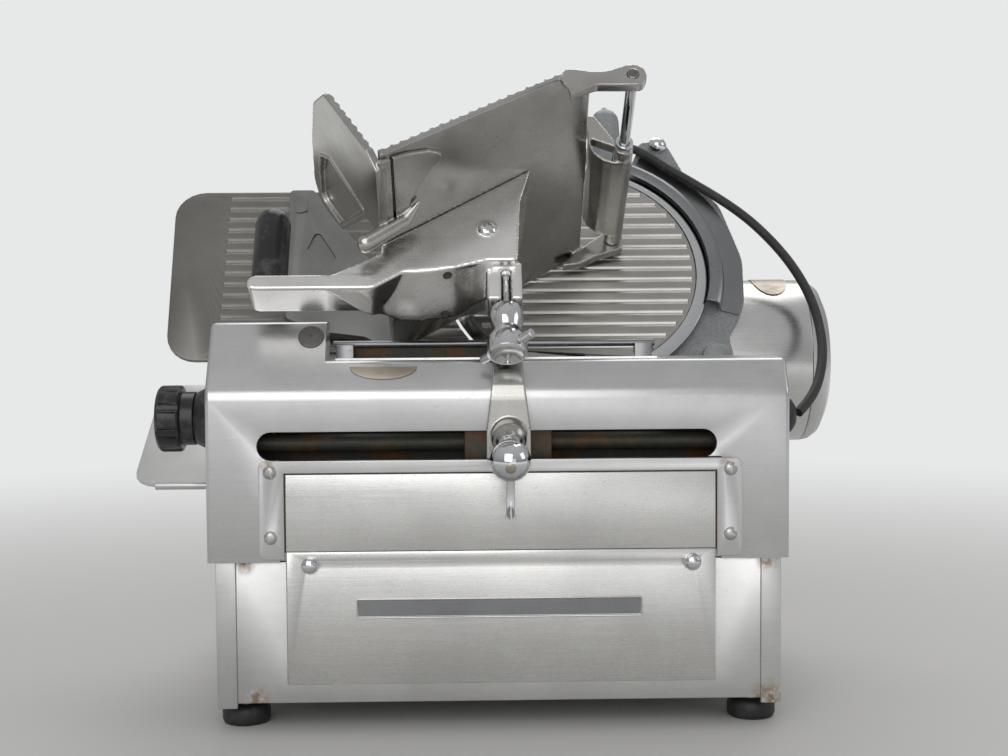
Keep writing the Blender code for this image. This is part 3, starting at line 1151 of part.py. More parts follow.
def make_arm():
    """The arm that climbs over the cover's front, its collar, and the ball knob with its lever."""
    lean = Matrix.Translation(KNIFE_CENTRE) @ Matrix.Rotation(-KNIFE_LEAN, 4, "X")
    face = (lean.inverted() @ Vector((0.0, 0.0, FOLD_HEIGHT))).y
    near = ARM_GAP + ARM_THICKNESS
    top_back = lean @ Vector((0.0, face - ARM_GAP, ARM_TOP))
    top_front = lean @ Vector((0.0, face - near, ARM_TOP))
    low = SLOT_BOTTOM + 0.0015
    back_fold = front_offset(ARM_GAP)
    front_fold = front_offset(near)
    outline = rounded([
        (-ARM_GAP, low, 0.0), (-near, low, 0.0), (front_fold[0], front_fold[1], FOLD_RADIUS + near),
        (top_front.y, top_front.z, 0.002), (top_back.y, top_back.z, 0.0),
        (back_fold[0], back_fold[1], FOLD_RADIUS + ARM_GAP)])
    x = CARRIAGE_X
    arm = slab("carriage_arm", outline, x - 0.025, x + 0.025, axes=("y", "z"),
        material="polished_aluminium")
    shape = slab("shape", rounded([
        (x - 0.0195, 0.20, 0.0), (x + 0.0195, 0.20, 0.0), (x + 0.0195, 0.270, 0.030),
        (x + 0.0140, 0.315, 0.030),
        (x + 0.0120, 0.42, 0.0), (x - 0.0120, 0.42, 0.0), (x - 0.0140, 0.315, 0.030),
        (x - 0.0195, 0.270, 0.030)]),
        -0.1, 0.2)
    combine(arm, "INTERSECT", [shape])
    collar_length = 0.022
    collar = turned("collar", [
        (0.0, collar_length), (0.0095, collar_length), (0.011, collar_length - 0.006),
        (0.0142, collar_length - 0.010),
        (COLLAR_RADIUS, collar_length - 0.012), (COLLAR_RADIUS, -0.004), (0.0, -0.004)],
        BALL_START, BALL_START + BALL_AXIS, steps=32)
    join(arm, collar)

    ball_low = collar_length + FIT
    half_angle = 32.0
    head = [(BALL_RADIUS * math.sin(math.radians(a)),
        BALL_DISTANCE + BALL_RADIUS * math.cos(math.radians(a)))
            for a in (0, 15, 30, 45, 60, 75, 90, 105, 120, 135, 180 - half_angle)]
    head[0] = (0.0, BALL_DISTANCE + BALL_RADIUS)
    knob = turned("ball_knob", head + [(0.0085, ball_low), (0.0, ball_low)], BALL_START,
        BALL_START + BALL_AXIS,
                  material="chrome", steps=32)
    pin_top = BALL_START + BALL_AXIS * (BALL_DISTANCE - 0.009)
    pin = rod("pin", pin_top, pin_top + Vector((0.0, 0.0, -0.0510)), 0.0038, sides=16)
    tip = rod("tip", pin_top + Vector((0.0, 0.0, -0.047)), pin_top + Vector((0.0, 0.0, -0.0525)), 0.0038,
              sides=16, end_radius=0.005)
    join(knob, pin, tip)
    hang_on("ball_axis", BALL_START, BENCH, [knob])
    return arm


def chute_frame():
    """The chute floor's frame: x up the floor, y towards the knife, z square out of the floor."""
    along = Vector((math.cos(FLOOR_ANGLE), 0.0, math.sin(FLOOR_ANGLE)))
    depth = Vector((0.0, 1.0, -CHUTE_DROP))
    out = Vector((-math.sin(FLOOR_ANGLE), 0.0, math.cos(FLOOR_ANGLE)))
    place = Matrix((along, depth, out)).transposed().to_4x4()
    corner = Vector((FLOOR_LEFT[0], -CHUTE_NEAR, FLOOR_LEFT[1]))
    return Matrix.Translation(corner) @ place


def skewed(obj, place):
    """Move a solid made in the chute's own frame into the knife frame."""
    obj.data.transform(place)
    if place.determinant() < 0:
        obj.data.flip_normals()
    return obj


def make_chute():
    """The chute's fluted floor with the eye lug, its fluted side, and its end frame."""
    place = chute_frame()
    length = FLOOR_LENGTH
    run = CHUTE_NEAR - CHUTE_FAR
    thick = FLOOR_THICKNESS
    count = 21
    wave = []
    for index in range(count):
        start = 0.004 + index * FLOOR_FLUTE_PITCH
        wave.extend([(start, 0.0), (start + FLOOR_FLUTE_PITCH * 0.3, -0.0016),
                     (start + FLOOR_FLUTE_PITCH * 0.7, -0.0016)])
    section = [(0.0, -thick), (length, -thick), (length, 0.0)] + list(reversed(wave)) + [(0.0, 0.0)]
    floor = slab("chute_floor", section, -0.0075, run, KNIFE, material="polished_aluminium")
    corner = slab("corner", [(length - 0.0310, -0.010), (length + 0.01, -0.010), (length + 0.01, 0.0440)],
                  -0.1, 0.1, KNIFE, axes=("x", "y"))
    edge = slab("edge", [(-0.02, -0.030), (length + 0.02, -0.030), (length + 0.02, 0.0078),
                         (-0.02, -0.0082)], -0.1, 0.1, KNIFE, axes=("x", "y"))
    above = slab("above", [(0.10, -0.0008), (length + 0.05, -0.0008), (length + 0.05, 0.08), (0.10, 0.08)],
                 -0.002, 0.06, KNIFE)
    for obj in (floor, corner, edge, above):
        skewed(obj, place)
    cut(floor, corner, edge)
    near = CHUTE_NEAR
    lug = slab("lug", rounded([
        (-0.0215, 0.0330, 0.0), (-0.0131, 0.0324, 0.006), (0.0056, 0.0290, 0.020), (0.0165, 0.0314, 0.020),
        (0.0285, 0.0364, 0.010), (0.0385, 0.0384, 0.008), (0.0462, 0.0338, 0.008), (0.0482, 0.0245, 0.007),
        (0.0448, 0.0146, 0.007), (0.0243, 0.0143, 0.010), (0.0035, 0.0146, 0.012), (-0.0085, 0.0091, 0.010),
        (-0.0190, 0.0030, 0.0)]), -EYE_NEAR, -EYE_NEAR + LUG_THICKNESS, KNIFE)
    root = slab("root", [
        (-0.0220, 0.0322), (-0.0131, 0.0314), (0.0040, 0.0281), (0.0040, 0.0157), (-0.0068, 0.0103),
        (-0.0143, 0.0057), (-0.0195, 0.0062), (-0.0270, 0.0200)], 0.0005, EYE_NEAR - near + 0.016, KNIFE)
    back = Matrix((Vector((1.0, 0.0, 0.0)), Vector((0.0875, 1.0, 0.896)), Vector((0.0, 0.0, 1.0))))
    skewed(root, Matrix.Translation(Vector((0.0, -EYE_NEAR, 0.0))) @ back.transposed().to_4x4())
    cut(root, above)
    end_x = FLOOR_LEFT[0] + length * math.cos(FLOOR_ANGLE)
    end_u = FLOOR_LEFT[1] + length * math.sin(FLOOR_ANGLE) - CHUTE_DROP * run
    foot = slab("foot", rounded([
        (end_x - 0.0158, end_u - 0.0254, 0.0), (end_x + 0.0002, end_u - 0.0074, 0.0),
        (0.030, 0.0360, 0.008), (0.046, 0.0360, 0.006), (0.046, 0.0150, 0.006),
        (0.020, 0.0060, 0.010), (end_x + 0.0022, end_u - 0.0234, 0.0)]), -0.016, -CHUTE_FAR, KNIFE)
    hole = PUSHER_ROD_RADIUS + FIT
    eye = rod("eye", at(PUSHER_X, near - 0.04, PUSHER_Z), at(PUSHER_X, near + 0.06, PUSHER_Z), hole, KNIFE)
    socket = rod("socket", at(PUSHER_X, 0.0, PUSHER_Z), at(PUSHER_X, 0.05, PUSHER_Z), hole, KNIFE)
    join(floor, lug, root, foot)
    cut(floor, eye, socket)

    side_place = side_frame()
    tongue_end = near - BRACKET_NEAR - 0.014
    side = slab("chute_side", rounded([
        (-0.0160, 0.004, 0.0), (FIT, -0.006, 0.0), (0.0735, -0.006, 0.008), (0.0955, 0.0200, 0.020),
        (0.1057, 0.0670, 0.030), (0.1100, 0.1200, 0.020), (0.0980, 0.1400, 0.010), (0.0600, 0.1370, 0.004),
        (0.0100, 0.0780, 0.004), (FIT, tongue_end, 0.0), (-0.0160, tongue_end, 0.0)]),
        0.0, SIDE_THICKNESS, KNIFE, axes=("x", "y"), material="polished_aluminium")
    pocket = slab("pocket", rounded([
        (0.0150, 0.0710, 0.003), (0.0710, 0.0640, 0.006), (0.0880, 0.0740, 0.006), (0.0935, 0.0950, 0.010),
        (0.0950, 0.1280, 0.008), (0.0610, 0.1290, 0.004)]), -0.01, 0.0035, KNIFE, axes=("x", "y"))
    under = -FLOOR_THICKNESS - FIT
    tongue = slab("tongue", rounded([
        (-0.004, -0.004, 0.0), (0.0230, 0.0010, 0.010), (0.0450, 0.0090, 0.015), (0.0610, 0.0210, 0.005),
        (0.0420, 0.0330, 0.010), (0.0250, 0.0520, 0.010), (0.0190, tongue_end, 0.006),
        (-0.004, tongue_end, 0.0)]), under - 0.004, under, KNIFE, axes=("x", "y"))
    knuckle = rod("knuckle", (-0.026, tongue_end - 0.006, under - 0.0085),
                  (0.016, tongue_end - 0.008, under - 0.0072), 0.0075, KNIFE, sides=20, end_radius=0.0062)
    tip = rod("tip", (0.0155, tongue_end - 0.008, under - 0.0072),
              (0.034, tongue_end - 0.018, under - 0.0035), 0.0062, KNIFE, sides=20, end_radius=0.0015)
    nose = ball("nose", (-0.026, tongue_end - 0.006, under - 0.0085), 0.0075, KNIFE, sides=12)
    for obj in (side, pocket):
        skewed(obj, side_place)
    for obj in (tongue, knuckle, tip, nose):
        skewed(obj, place)
    cut(side, pocket)
    join(side, tongue, knuckle, tip, nose)

    end = slab("end_frame", rounded([
        (-0.2897, 0.0912, 0.004), (-0.2660, 0.0912, 0.004), (-0.2030, -0.0004, 0.020),
        (-0.1843, -0.0500, 0.010),
        (-0.1843, -0.1010, 0.002), (-0.2085, -0.0860, 0.008), (-0.2500, -0.0800, 0.010),
        (-0.2860, -0.0640, 0.006)]),
        -0.014, -CHUTE_FAR, KNIFE, material="blue_grey_paint")
    return floor, side, end


def side_frame():
    """The chute side's frame: x up the side, y towards the knife, z square into the chute."""
    along = Vector((-math.cos(SIDE_ANGLE), 0.0, math.sin(SIDE_ANGLE)))
    depth = Vector((0.0, 1.0, -CHUTE_DROP))
    out = Vector((math.sin(SIDE_ANGLE), 0.0, math.cos(SIDE_ANGLE)))
    place = Matrix((along, depth, out)).transposed().to_4x4()
    corner = Vector((FLOOR_LEFT[0] - SIDE_THICKNESS - 0.0025, -CHUTE_NEAR, FLOOR_LEFT[1]))
    return Matrix.Translation(corner) @ place


def floor_clearance():
    """A solid that stands for the chute's floor with room below it."""
    obj = slab("floor_room", [(-0.05, -FLOOR_THICKNESS - FIT), (0.35, -FLOOR_THICKNESS - FIT), (0.35,
        0.15), (-0.05, 0.15)],
               -0.1, 0.30, KNIFE)
    return skewed(obj, chute_frame())


def make_bracket():
    """The cast bracket under the chute with the handle arm and the slotted lug, and the black grip."""
    bracket = slab("chute_bracket", rounded([
        (-0.1855, -0.0600, 0.0), (-0.1855, -0.0900, 0.004), (-0.1740, -0.1030, 0.006),
        (-0.1200, -0.1010, 0.010),
        (-0.0913, -0.0930, 0.004), (-0.0640, -0.0930, 0.004), (-0.0600, -0.0270, 0.030),
        (-0.0440, 0.0300, 0.0)]),
        -BRACKET_NEAR, -BRACKET_FAR, KNIFE, material="polished_aluminium")
    cut(bracket, floor_clearance())
    handle = slab("handle", rounded([
        (HANDLE_LEFT, HANDLE_BOTTOM, 0.007), (-0.192, HANDLE_BOTTOM, 0.012), (-0.160, -0.1025, 0.010),
        (-0.160, -0.090, 0.0),
        (-0.180, -0.090, 0.006), (-0.1900, HANDLE_TOP, 0.010), (HANDLE_LEFT, HANDLE_TOP, 0.007)]),
        -HANDLE_NEAR, -HANDLE_FAR, KNIFE)
    lug_near = LUG_NEAR
    lug = block("slotted_lug", at(LUG_X - LUG_WIDTH / 2, LUG_FAR, LUG_BOTTOM),
                at(LUG_X + LUG_WIDTH / 2, lug_near, -0.0880), KNIFE)
    slot = block("slot", at(CLAMP_X - LUG_SLOT / 2, 0.112, LUG_BOTTOM - 0.01),
                 at(CLAMP_X + LUG_SLOT / 2, lug_near + 0.01, -0.096), KNIFE)
    bolt = rod("bolt", at(-0.091, BRACKET_NEAR - 0.001, -0.059), at(-0.091, BRACKET_NEAR + 0.003, -0.059),
        0.0078,
               KNIFE, end_radius=0.0062)
    holes = [rod("hole", at(-0.129, n, -0.120), at(-0.129, n, -0.090), 0.0035, KNIFE,
        sides=12) for n in (0.138, 0.076)]
    join(bracket, handle, lug, bolt)
    cut(bracket, slot, *holes)

    grip_n = (HANDLE_NEAR + HANDLE_FAR) / 2
    base = HANDLE_TOP + FIT
    top = GRIP_TOP - base
    radius = GRIP_RADIUS
    grip = turned("grip", [
        (0.0, top), (radius * 0.5, top - 0.0022), (radius * 0.86, top - 0.0080), (radius, top - 0.0160),
        (radius, 0.0), (0.0, 0.0)], at(GRIP_X, grip_n, base), at(GRIP_X, grip_n, 1.0), KNIFE,
        material="black_plastic", steps=32)
    return bracket, grip


def make_clamp():
    """The chrome clamp nut with its cross bar and the stud that lies in the slotted lug."""
    low = CLAMP_BOTTOM
    height = CLAMP_TOP - low
    radius = CLAMP_RADIUS
    nut = turned("clamp_nut", [
        (0.0, height + 0.0312), (STUD_THREAD_RADIUS, height + 0.0312), (STUD_THREAD_RADIUS, height - FIT),
        (0.0100, height - FIT), (0.0135, height - 0.003), (0.0150, height - 0.010),
        (0.0145, height - 0.018),
        (0.0122, height - 0.025), (0.0150, height - 0.031), (radius, height - 0.036), (radius, 0.002),
        (radius - 0.0025, 0.0), (radius - 0.004, 0.0), (0.008, 0.004), (0.0, 0.0045)],
        at(CLAMP_X, CLAMP_NEAR, low), at(CLAMP_X, CLAMP_NEAR, 1.0), KNIFE, material="chrome", steps=32)
    centre = at(CLAMP_X, CLAMP_NEAR, low + 0.0095)
    reach = at(math.cos(CROSS_BAR_TURN), math.sin(CROSS_BAR_TURN), 0.0) * CROSS_BAR_HALF
    bar = rod("cross_bar", centre - reach, centre + reach, CROSS_BAR_RADIUS, KNIFE, sides=16)
    join(nut, bar)
    hang_on("clamp_axis", at(CLAMP_X, CLAMP_NEAR, low), KNIFE, [nut])
    return nut


def make_pusher():
    """The pusher's rod, its stop ring, and the sleeve with its wing and its plate in the chute."""
    far = PUSHER_ROD_FAR
    bar = rod("pusher_rod", at(PUSHER_X, far, PUSHER_Z), at(PUSHER_X, PUSHER_ROD_NEAR, PUSHER_Z),
        PUSHER_ROD_RADIUS,
              KNIFE, material="chrome")
    gap = PUSHER_ROD_RADIUS + FIT
    ring = turned("pusher_ring", [(0.008, 0.006), (0.008, 0.0), (gap, 0.0), (gap, 0.006)],
                  at(PUSHER_X, SLEEVE_NEAR + FIT, PUSHER_Z), at(PUSHER_X, 1.0, PUSHER_Z), KNIFE,
                  material="chrome")
    sleeve = turned("pusher_sleeve", [
        (SLEEVE_RADIUS, SLEEVE_NEAR - SLEEVE_FAR), (SLEEVE_RADIUS, 0.0), (gap, 0.0),
        (gap, SLEEVE_NEAR - SLEEVE_FAR)],
        at(PUSHER_X, SLEEVE_FAR, PUSHER_Z), at(PUSHER_X, 1.0, PUSHER_Z), KNIFE,
        material="polished_aluminium", steps=28)
    outer = [(0.0452, 0.0275), (0.0440, 0.0205), (0.0375, 0.0166), (0.0270, 0.0166), (0.0170, 0.0205),
             (0.0085, 0.0285), (0.0048, 0.0380), (0.0040, 0.0490)]
    inner = [(0.0066, 0.0495), (0.0074, 0.0390), (0.0107, 0.0305), (0.0184, 0.0230), (0.0278, 0.0192),
             (0.0360, 0.0192), (0.0400, 0.0225), (0.0420, 0.0275)]
    wing = slab("wing", outer + inner, -0.148, -0.034, KNIFE)
    reach = slab("reach", [
        (0.0062, 0.0470), (0.0300, 0.0360), (0.0300, 0.0430), (0.0120, 0.0740), (-0.045, 0.0800),
        (-0.045, 0.0725), (0.0005, 0.0672)], -0.148, -0.136, KNIFE)
    plate = slab("plate", rounded([
        (-0.034, 0.0384, 0.0), (-0.034, 0.0820, 0.004), (-0.080, 0.0700, 0.010), (-0.125, 0.0300, 0.010),
        (-0.130, -0.0214, 0.004)]), -0.148, -0.142, KNIFE)
    join(sleeve, wing, reach, plate)
    cut(sleeve, rod("bore", at(PUSHER_X, 0.0, PUSHER_Z), at(PUSHER_X, 0.3, PUSHER_Z), gap, KNIFE))
    hang_on("ring_axis", at(PUSHER_X, SLEEVE_NEAR, PUSHER_Z), KNIFE, [ring])
    hang_on("sleeve_axis", at(PUSHER_X, SLEEVE_FAR, PUSHER_Z), KNIFE, [sleeve])
    return bar


def make_oval():
    """The bare oval plate on the cover's slope, cut off by the edge of the top opening."""
    lean = BENCH @ Matrix.Translation((0.0, 0.0, FOLD_HEIGHT)) @ Matrix.Rotation(-KNIFE_LEAN, 4, "X")
    half_width = 0.030
    drop = 0.013
    edge = MAIN_SLOPE - 0.0065
    outline = [(-0.1017 + half_width * math.cos(math.radians(a)), edge + drop * math.sin(math.radians(a)))
               for a in range(180, 361, 15)]
    slab("oval_plate", outline, -0.0012, -FIT, lean, material="aged_brass")


make_cover()
make_door()
make_case()
make_drive()
make_rail()
make_index()
make_gauge()
make_tray()
make_knife()
make_housing()
make_motor()
make_sharpener()
make_switch()
make_oval()
SLIDE = make_slide()
ARM = make_arm()
FLOOR, SIDE, END = make_chute()
BRACKET, GRIP = make_bracket()
make_clamp()
BAR = make_pusher()
hang_on("carriage_axis", (CARRIAGE_X, ROD_Y, ROD_Z), BENCH, [SLIDE, ARM])
hang_on("chute_axis", at(LUG_X, 0.101, ARM_TOP), KNIFE, [FLOOR, SIDE, END, BRACKET, GRIP, BAR])
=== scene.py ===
"""Finished pieces, materials, light and camera of a bench-top gravity-feed meat slicer.

Nodes whose shape is final keep their place and get a material. The others are replaced by finished pieces
that ride on the same bodies. All sizes are in metres, in the row frame. BENCH takes a point from the
maker's bench frame, with its zero on the table under the cover's front face, to the row frame. KNIFE takes
a point from the knife's own leaning frame: x to the right, y away from the food and z up the knife.
"""

from __future__ import annotations

import logging
import math
from dataclasses import dataclass, field
from enum import Enum
from typing import Iterable, Sequence

import bmesh
import bpy
from mathutils import Matrix, Vector


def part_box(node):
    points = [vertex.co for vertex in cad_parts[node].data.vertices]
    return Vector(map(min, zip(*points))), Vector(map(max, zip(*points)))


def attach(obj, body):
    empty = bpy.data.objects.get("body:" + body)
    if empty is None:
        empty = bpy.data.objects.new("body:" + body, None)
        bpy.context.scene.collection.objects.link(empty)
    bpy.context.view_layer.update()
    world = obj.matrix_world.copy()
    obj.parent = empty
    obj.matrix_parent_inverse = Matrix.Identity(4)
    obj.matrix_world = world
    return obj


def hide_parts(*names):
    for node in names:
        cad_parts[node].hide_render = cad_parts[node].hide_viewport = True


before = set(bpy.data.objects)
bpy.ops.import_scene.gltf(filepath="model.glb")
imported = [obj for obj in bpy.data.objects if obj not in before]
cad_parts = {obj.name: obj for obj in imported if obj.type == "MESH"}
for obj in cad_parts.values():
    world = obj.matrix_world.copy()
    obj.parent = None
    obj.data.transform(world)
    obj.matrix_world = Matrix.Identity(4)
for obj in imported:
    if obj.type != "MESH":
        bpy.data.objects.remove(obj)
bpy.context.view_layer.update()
LOG = logging.getLogger("slicer")

KNIFE_LEAN = math.radians(34.0)
KNIFE_CENTRE = Vector((0.0826, 0.1859, 0.4126))
CENTRE = Vector((-0.003, 0.1495375, 0.0))
BENCH = Matrix.Translation(-CENTRE)
KNIFE = BENCH @ Matrix.Translation(KNIFE_CENTRE) @ Matrix.Rotation(-KNIFE_LEAN, 4, "X")

Triple = tuple[float, float, float]


class Axis(Enum):
    """A direction in the row frame."""

    X = 0
    Y = 1
    Z = 2


class Body(Enum):
    """The bodies that pieces ride on."""

    FRAME = "frame"
    CARRIAGE = "carriage"
    LEVER = "drive_lever"
    CHUTE = "chute"
    CLAMP = "clamp"
    STOP = "pusher_stop"
    PUSHER = "pusher"
    INDEX = "index"
    GAUGE = "gauge"
    KNIFE = "knife_group"
    DOOR = "door"
    DOOR_LEFT = "door_screw_left"
    DOOR_RIGHT = "door_screw_right"
    TOGGLE = "toggle"
    TRAY = "tray"
    STONE = "stone"


@dataclass
class Socket:
    """An output of a node that works in arithmetic."""

    graph: "Tree"
    link: bpy.types.NodeSocket

    def _do(self, operation: str, first: "Socket | float", second: "Socket | float") -> "Socket":
        """Add a Math node and return its value."""
        return self.graph.node("ShaderNodeMath", {"operation": operation}, {0: first, 1: second})

    def __add__(self, other: "Socket | float") -> "Socket":
        """Sum."""
        return self._do("ADD", self, other)

    __radd__ = __add__

    def __sub__(self, other: "Socket | float") -> "Socket":
        """Difference."""
        return self._do("SUBTRACT", self, other)

    def __rsub__(self, other: "Socket | float") -> "Socket":
        """Difference with this value last."""
        return self._do("SUBTRACT", other, self)

    def __mul__(self, other: "Socket | float") -> "Socket":
        """Product."""
        return self._do("MULTIPLY", self, other)

    __rmul__ = __mul__

    def at_least(self, other: "Socket | float") -> "Socket":
        """The larger of two values."""
        return self._do("MAXIMUM", self, other)

    def at_most(self, other: "Socket | float") -> "Socket":
        """The smaller of two values."""
        return self._do("MINIMUM", self, other)

    def ramp(self, low: float, high: float) -> "Socket":
        """Go smoothly from 0 at low to 1 at high.

        Args:
            low: the value that gives 0.
            high: the value that gives 1.

        Returns:
            The ramped value.
        """
        settings = {"interpolation_type": "SMOOTHSTEP"}
        values = {"Value": self, "From Min": low, "From Max": high}
        return self.graph.node("ShaderNodeMapRange", settings, values)


class Tree:
    """A node tree, and the one method that adds its nodes."""

    def __init__(self, tree: bpy.types.NodeTree) -> None:
        """Take the tree of a material or of the world.

        Args:
            tree: the node tree.
        """
        self.tree = tree

    def node(self, kind: str, settings: dict, values: dict, output: str | int = 0) -> Socket:
        """Add a node.

        Args:
            kind: the node's type.
            settings: the node's own settings, and a ramp's stops under "stops", set before its sockets.
            values: numbers, colours or sockets for its inputs, by name or place.
            output: the output to return.

        Returns:
            The chosen output.
        """
        made = self.tree.nodes.new(kind)
        for name, value in settings.items():
            if name == "stops":
                self._set_stops(made.color_ramp, value)
            else:
                setattr(made, name, value)
        for name, value in values.items():
            self.feed(made.inputs[name], value)
        return Socket(self, made.outputs[output])

    @staticmethod
    def _set_stops(ramp: bpy.types.ColorRamp, stops: Sequence[tuple[float, tuple]]) -> None:
        """Give a colour ramp its stops.

        Args:
            ramp: the colour ramp.
            stops: (position, colour) pairs from left to right.
        """
        while len(ramp.elements) < len(stops):
            ramp.elements.new(0.5)
        for element, (position, colour) in zip(ramp.elements, stops):
            element.position = position
            element.color = (*colour[:3], 1.0)

    def feed(self, target: bpy.types.NodeSocket, value: "Socket | float | Sequence[float]") -> None:
        """Link or set an input.

        Args:
            target: the input.
            value: the socket to link, or the number or colour to set.
        """
        if isinstance(value, Socket):
            self.tree.links.new(value.link, target)
        elif target.type == "RGBA" and len(value) == 3:
            target.default_value = (*value, 1.0)
        else:
            target.default_value = value


class Graph(Tree):
    """The node tree of one material, and the patterns that the finishes are made of."""

    def __init__(self, name: str) -> None:
        """Start a material with a Principled shader.

        Args:
            name: the material's name.
        """
        self.material = bpy.data.materials.new(name)
        self.material.use_nodes = True
        super().__init__(self.material.node_tree)
        self.shader = self.tree.nodes["Principled BSDF"]
        self.place = self.node("ShaderNodeTexCoord", {}, {}, output="Object")

    def stretched(self, scale: Triple, turn: Triple = (0.0, 0.0, 0.0)) -> Socket:
        """Object coordinates turned and then scaled.

        Args:
            scale: the scale along each axis after the turn.
            turn: the turn, in radians.

        Returns:
            The vector.
        """
        point = {"vector_type": "POINT"}
        turned = self.node("ShaderNodeMapping", point, {"Vector": self.place, "Rotation": turn})
        return self.node("ShaderNodeMapping", point, {"Vector": turned, "Scale": scale})

    def noise(
        self, scale: float, detail: float = 4.0, rough: float = 0.55, vector: Socket | None = None
    ) -> Socket:
        """Noise from 0 to 1 with its middle at 0.5.

        Args:
            scale: how many lumps to a metre.
            detail: the number of finer layers.
            rough: how strong the finer layers are.
            vector: the coordinates, or None for object coordinates.

        Returns:
            The noise value.
        """
        values = {"Vector": vector or self.place, "Scale": scale, "Detail": detail, "Roughness": rough}
        return self.node("ShaderNodeTexNoise", {}, values)

    def mix(self, factor: "Socket | float", first: "Socket | Triple", second: "Socket | Triple") -> Socket:
        """Mix two colours.

        Args:
            factor: 0 for the first, 1 for the second.
            first: a colour.
            second: a colour.

        Returns:
            The mixed colour.
        """
        return self.node(
            "ShaderNodeMix", {"data_type": "RGBA"}, {0: factor, 6: first, 7: second}, output=2
        )

    def shade(self, colour: Socket, factor: "Socket | float") -> Socket:
        """Multiply a colour by a value.

        Args:
            colour: the colour.
            factor: what to multiply it by.

        Returns:
            The shaded colour.
        """
        return self.node(
            "ShaderNodeVectorMath", {"operation": "SCALE"}, {0: colour, "Scale": factor}, output="Vector"
        )

    def bump(self, height: Socket, depth: float, strength: float = 1.0) -> None:
        """Raise the surface by a height field.

        Args:
            height: the field.
            depth: the height of 1 in metres.
            strength: how much of it shows.
        """
        made = self.node("ShaderNodeBump", {}, {"Height": height, "Distance": depth, "Strength": strength})
        self.feed(self.shader.inputs["Normal"], made)

    def spot(self, centre: Triple, radius: float) -> Socket:
        """1 near a point of the row frame, fading to 0 at a distance.

        Args:
            centre: the point.
            radius: the distance.

        Returns:
            The mask.
        """
        away = self.node(
            "ShaderNodeVectorMath", {"operation": "DISTANCE"}, {0: self.place, 1: centre}, output="Value"
        )
        return 1.0 - away.ramp(0.0, radius)

    def along(self, axis: Axis) -> Socket:
        """One object coordinate."""
        return self.node("ShaderNodeSeparateXYZ", {}, {0: self.place}, output=axis.value)


@dataclass(frozen=True)
class Metal:
    """A worn bare metal.

    colour is its mean reflection, tone the share by which patches differ, brushed the axis its polish marks
    follow, scratch the depth of the marks and wave the slow waviness of the sheet or casting, in metres.
    stained is the strength of a film of the stain's colour, and stains are the (centre, radius) of its
    spots.
    """

    name: str
    colour: Triple
    roughness: float
    tone: float = 0.08
    brushed: Axis = Axis.X
    scratch: float = 0.00002
    wave: float = 0.00025
    wave_scale: float = 14.0
    stain: Triple = (0.30, 0.25, 0.19)
    stained: float = 0.0
    stains: tuple[tuple[Triple, float], ...] = ()
    roughness_spread: float = 0.10
    metallic: float = 1.0

    def make(self) -> bpy.types.Material:
        """Build the material.

        Returns:
            The material.
        """
        graph = Graph(self.name)
        shader = graph.shader
        fine = [900.0, 900.0, 900.0]
        fine[self.brushed.value] = 14.0
        marks = graph.noise(1.0, 3.0, 0.6, graph.stretched(tuple(fine)))
        skew = [500.0, 500.0, 500.0]
        skew[self.brushed.value] = 9.0
        crossed = graph.noise(1.0, 2.0, 0.5, graph.stretched(tuple(skew), (0.35, 0.5, 0.4)))
        patches = graph.noise(11.0, 5.0, 0.62)
        clouds = graph.noise(38.0, 4.0, 0.6)
        lines = crossed.ramp(0.66, 0.74)
        low = tuple(c * (1.0 - self.tone) for c in self.colour)
        high = tuple(min(c * (1.0 + self.tone), 1.0) for c in self.colour)
        colour = graph.mix(patches.ramp(0.3, 0.7), low, high)
        colour = graph.shade(colour, 1.0 - lines * 0.10 + (marks - 0.5) * 0.12)
        if self.stained > 0.0:
            film = graph.noise(23.0, 6.0, 0.7).ramp(0.56, 0.72) * self.stained
            colour = graph.mix(film, colour, self.stain)
        mask: Socket | float = 0.0
        for centre, radius in self.stains:
            mask = graph.spot(centre, radius) + mask
        if self.stains:
            broken = mask * graph.noise(160.0, 4.0, 0.7).ramp(0.35, 0.62)
            colour = graph.mix(broken.at_most(0.9), colour, self.stain)
        graph.feed(shader.inputs["Base Color"], colour)
        rough = self.roughness + (clouds - 0.5) * self.roughness_spread
        rough = rough + (marks - 0.5) * 0.12 + lines * 0.08
        if self.stains:
            rough = rough + mask * 0.3
        graph.feed(shader.inputs["Roughness"], rough.at_least(0.04))
        shader.inputs["Metallic"].default_value = self.metallic
        wavy = graph.noise(self.wave_scale, 2.0, 0.5)
        graph.bump(wavy * self.wave + marks * self.scratch + lines * (-1.0 * self.scratch), 1.0)
        return graph.material


@dataclass(frozen=True)
class Enamel:
    """A painted casting with a pebbled skin and rubbed places."""

    name: str
    colour: Triple
    worn: Triple
    roughness: float = 0.42
    pebble: float = 0.00006
    rubbed: float = 0.5
    metallic: float = 0.35

    def make(self) -> bpy.types.Material:
        """Build the material.

        Returns:
            The material.
        """
        graph = Graph(self.name)
        shader = graph.shader
        pebbles = graph.noise(420.0, 3.0, 0.6)
        patches = graph.noise(26.0, 5.0, 0.65)
        rub = patches.ramp(0.52, 0.72) * self.rubbed
        dark = tuple(c * 0.78 for c in self.colour)
        colour = graph.mix(pebbles.ramp(0.35, 0.65), dark, self.colour)
        colour = graph.mix(rub, colour, self.worn)
        graph.feed(shader.inputs["Base Color"], colour)
        graph.feed(shader.inputs["Roughness"], self.roughness + (patches - 0.5) * 0.25)
        shader.inputs["Metallic"].default_value = self.metallic
        graph.bump(pebbles * self.pebble + patches * 0.0002, 1.0)
        return graph.material


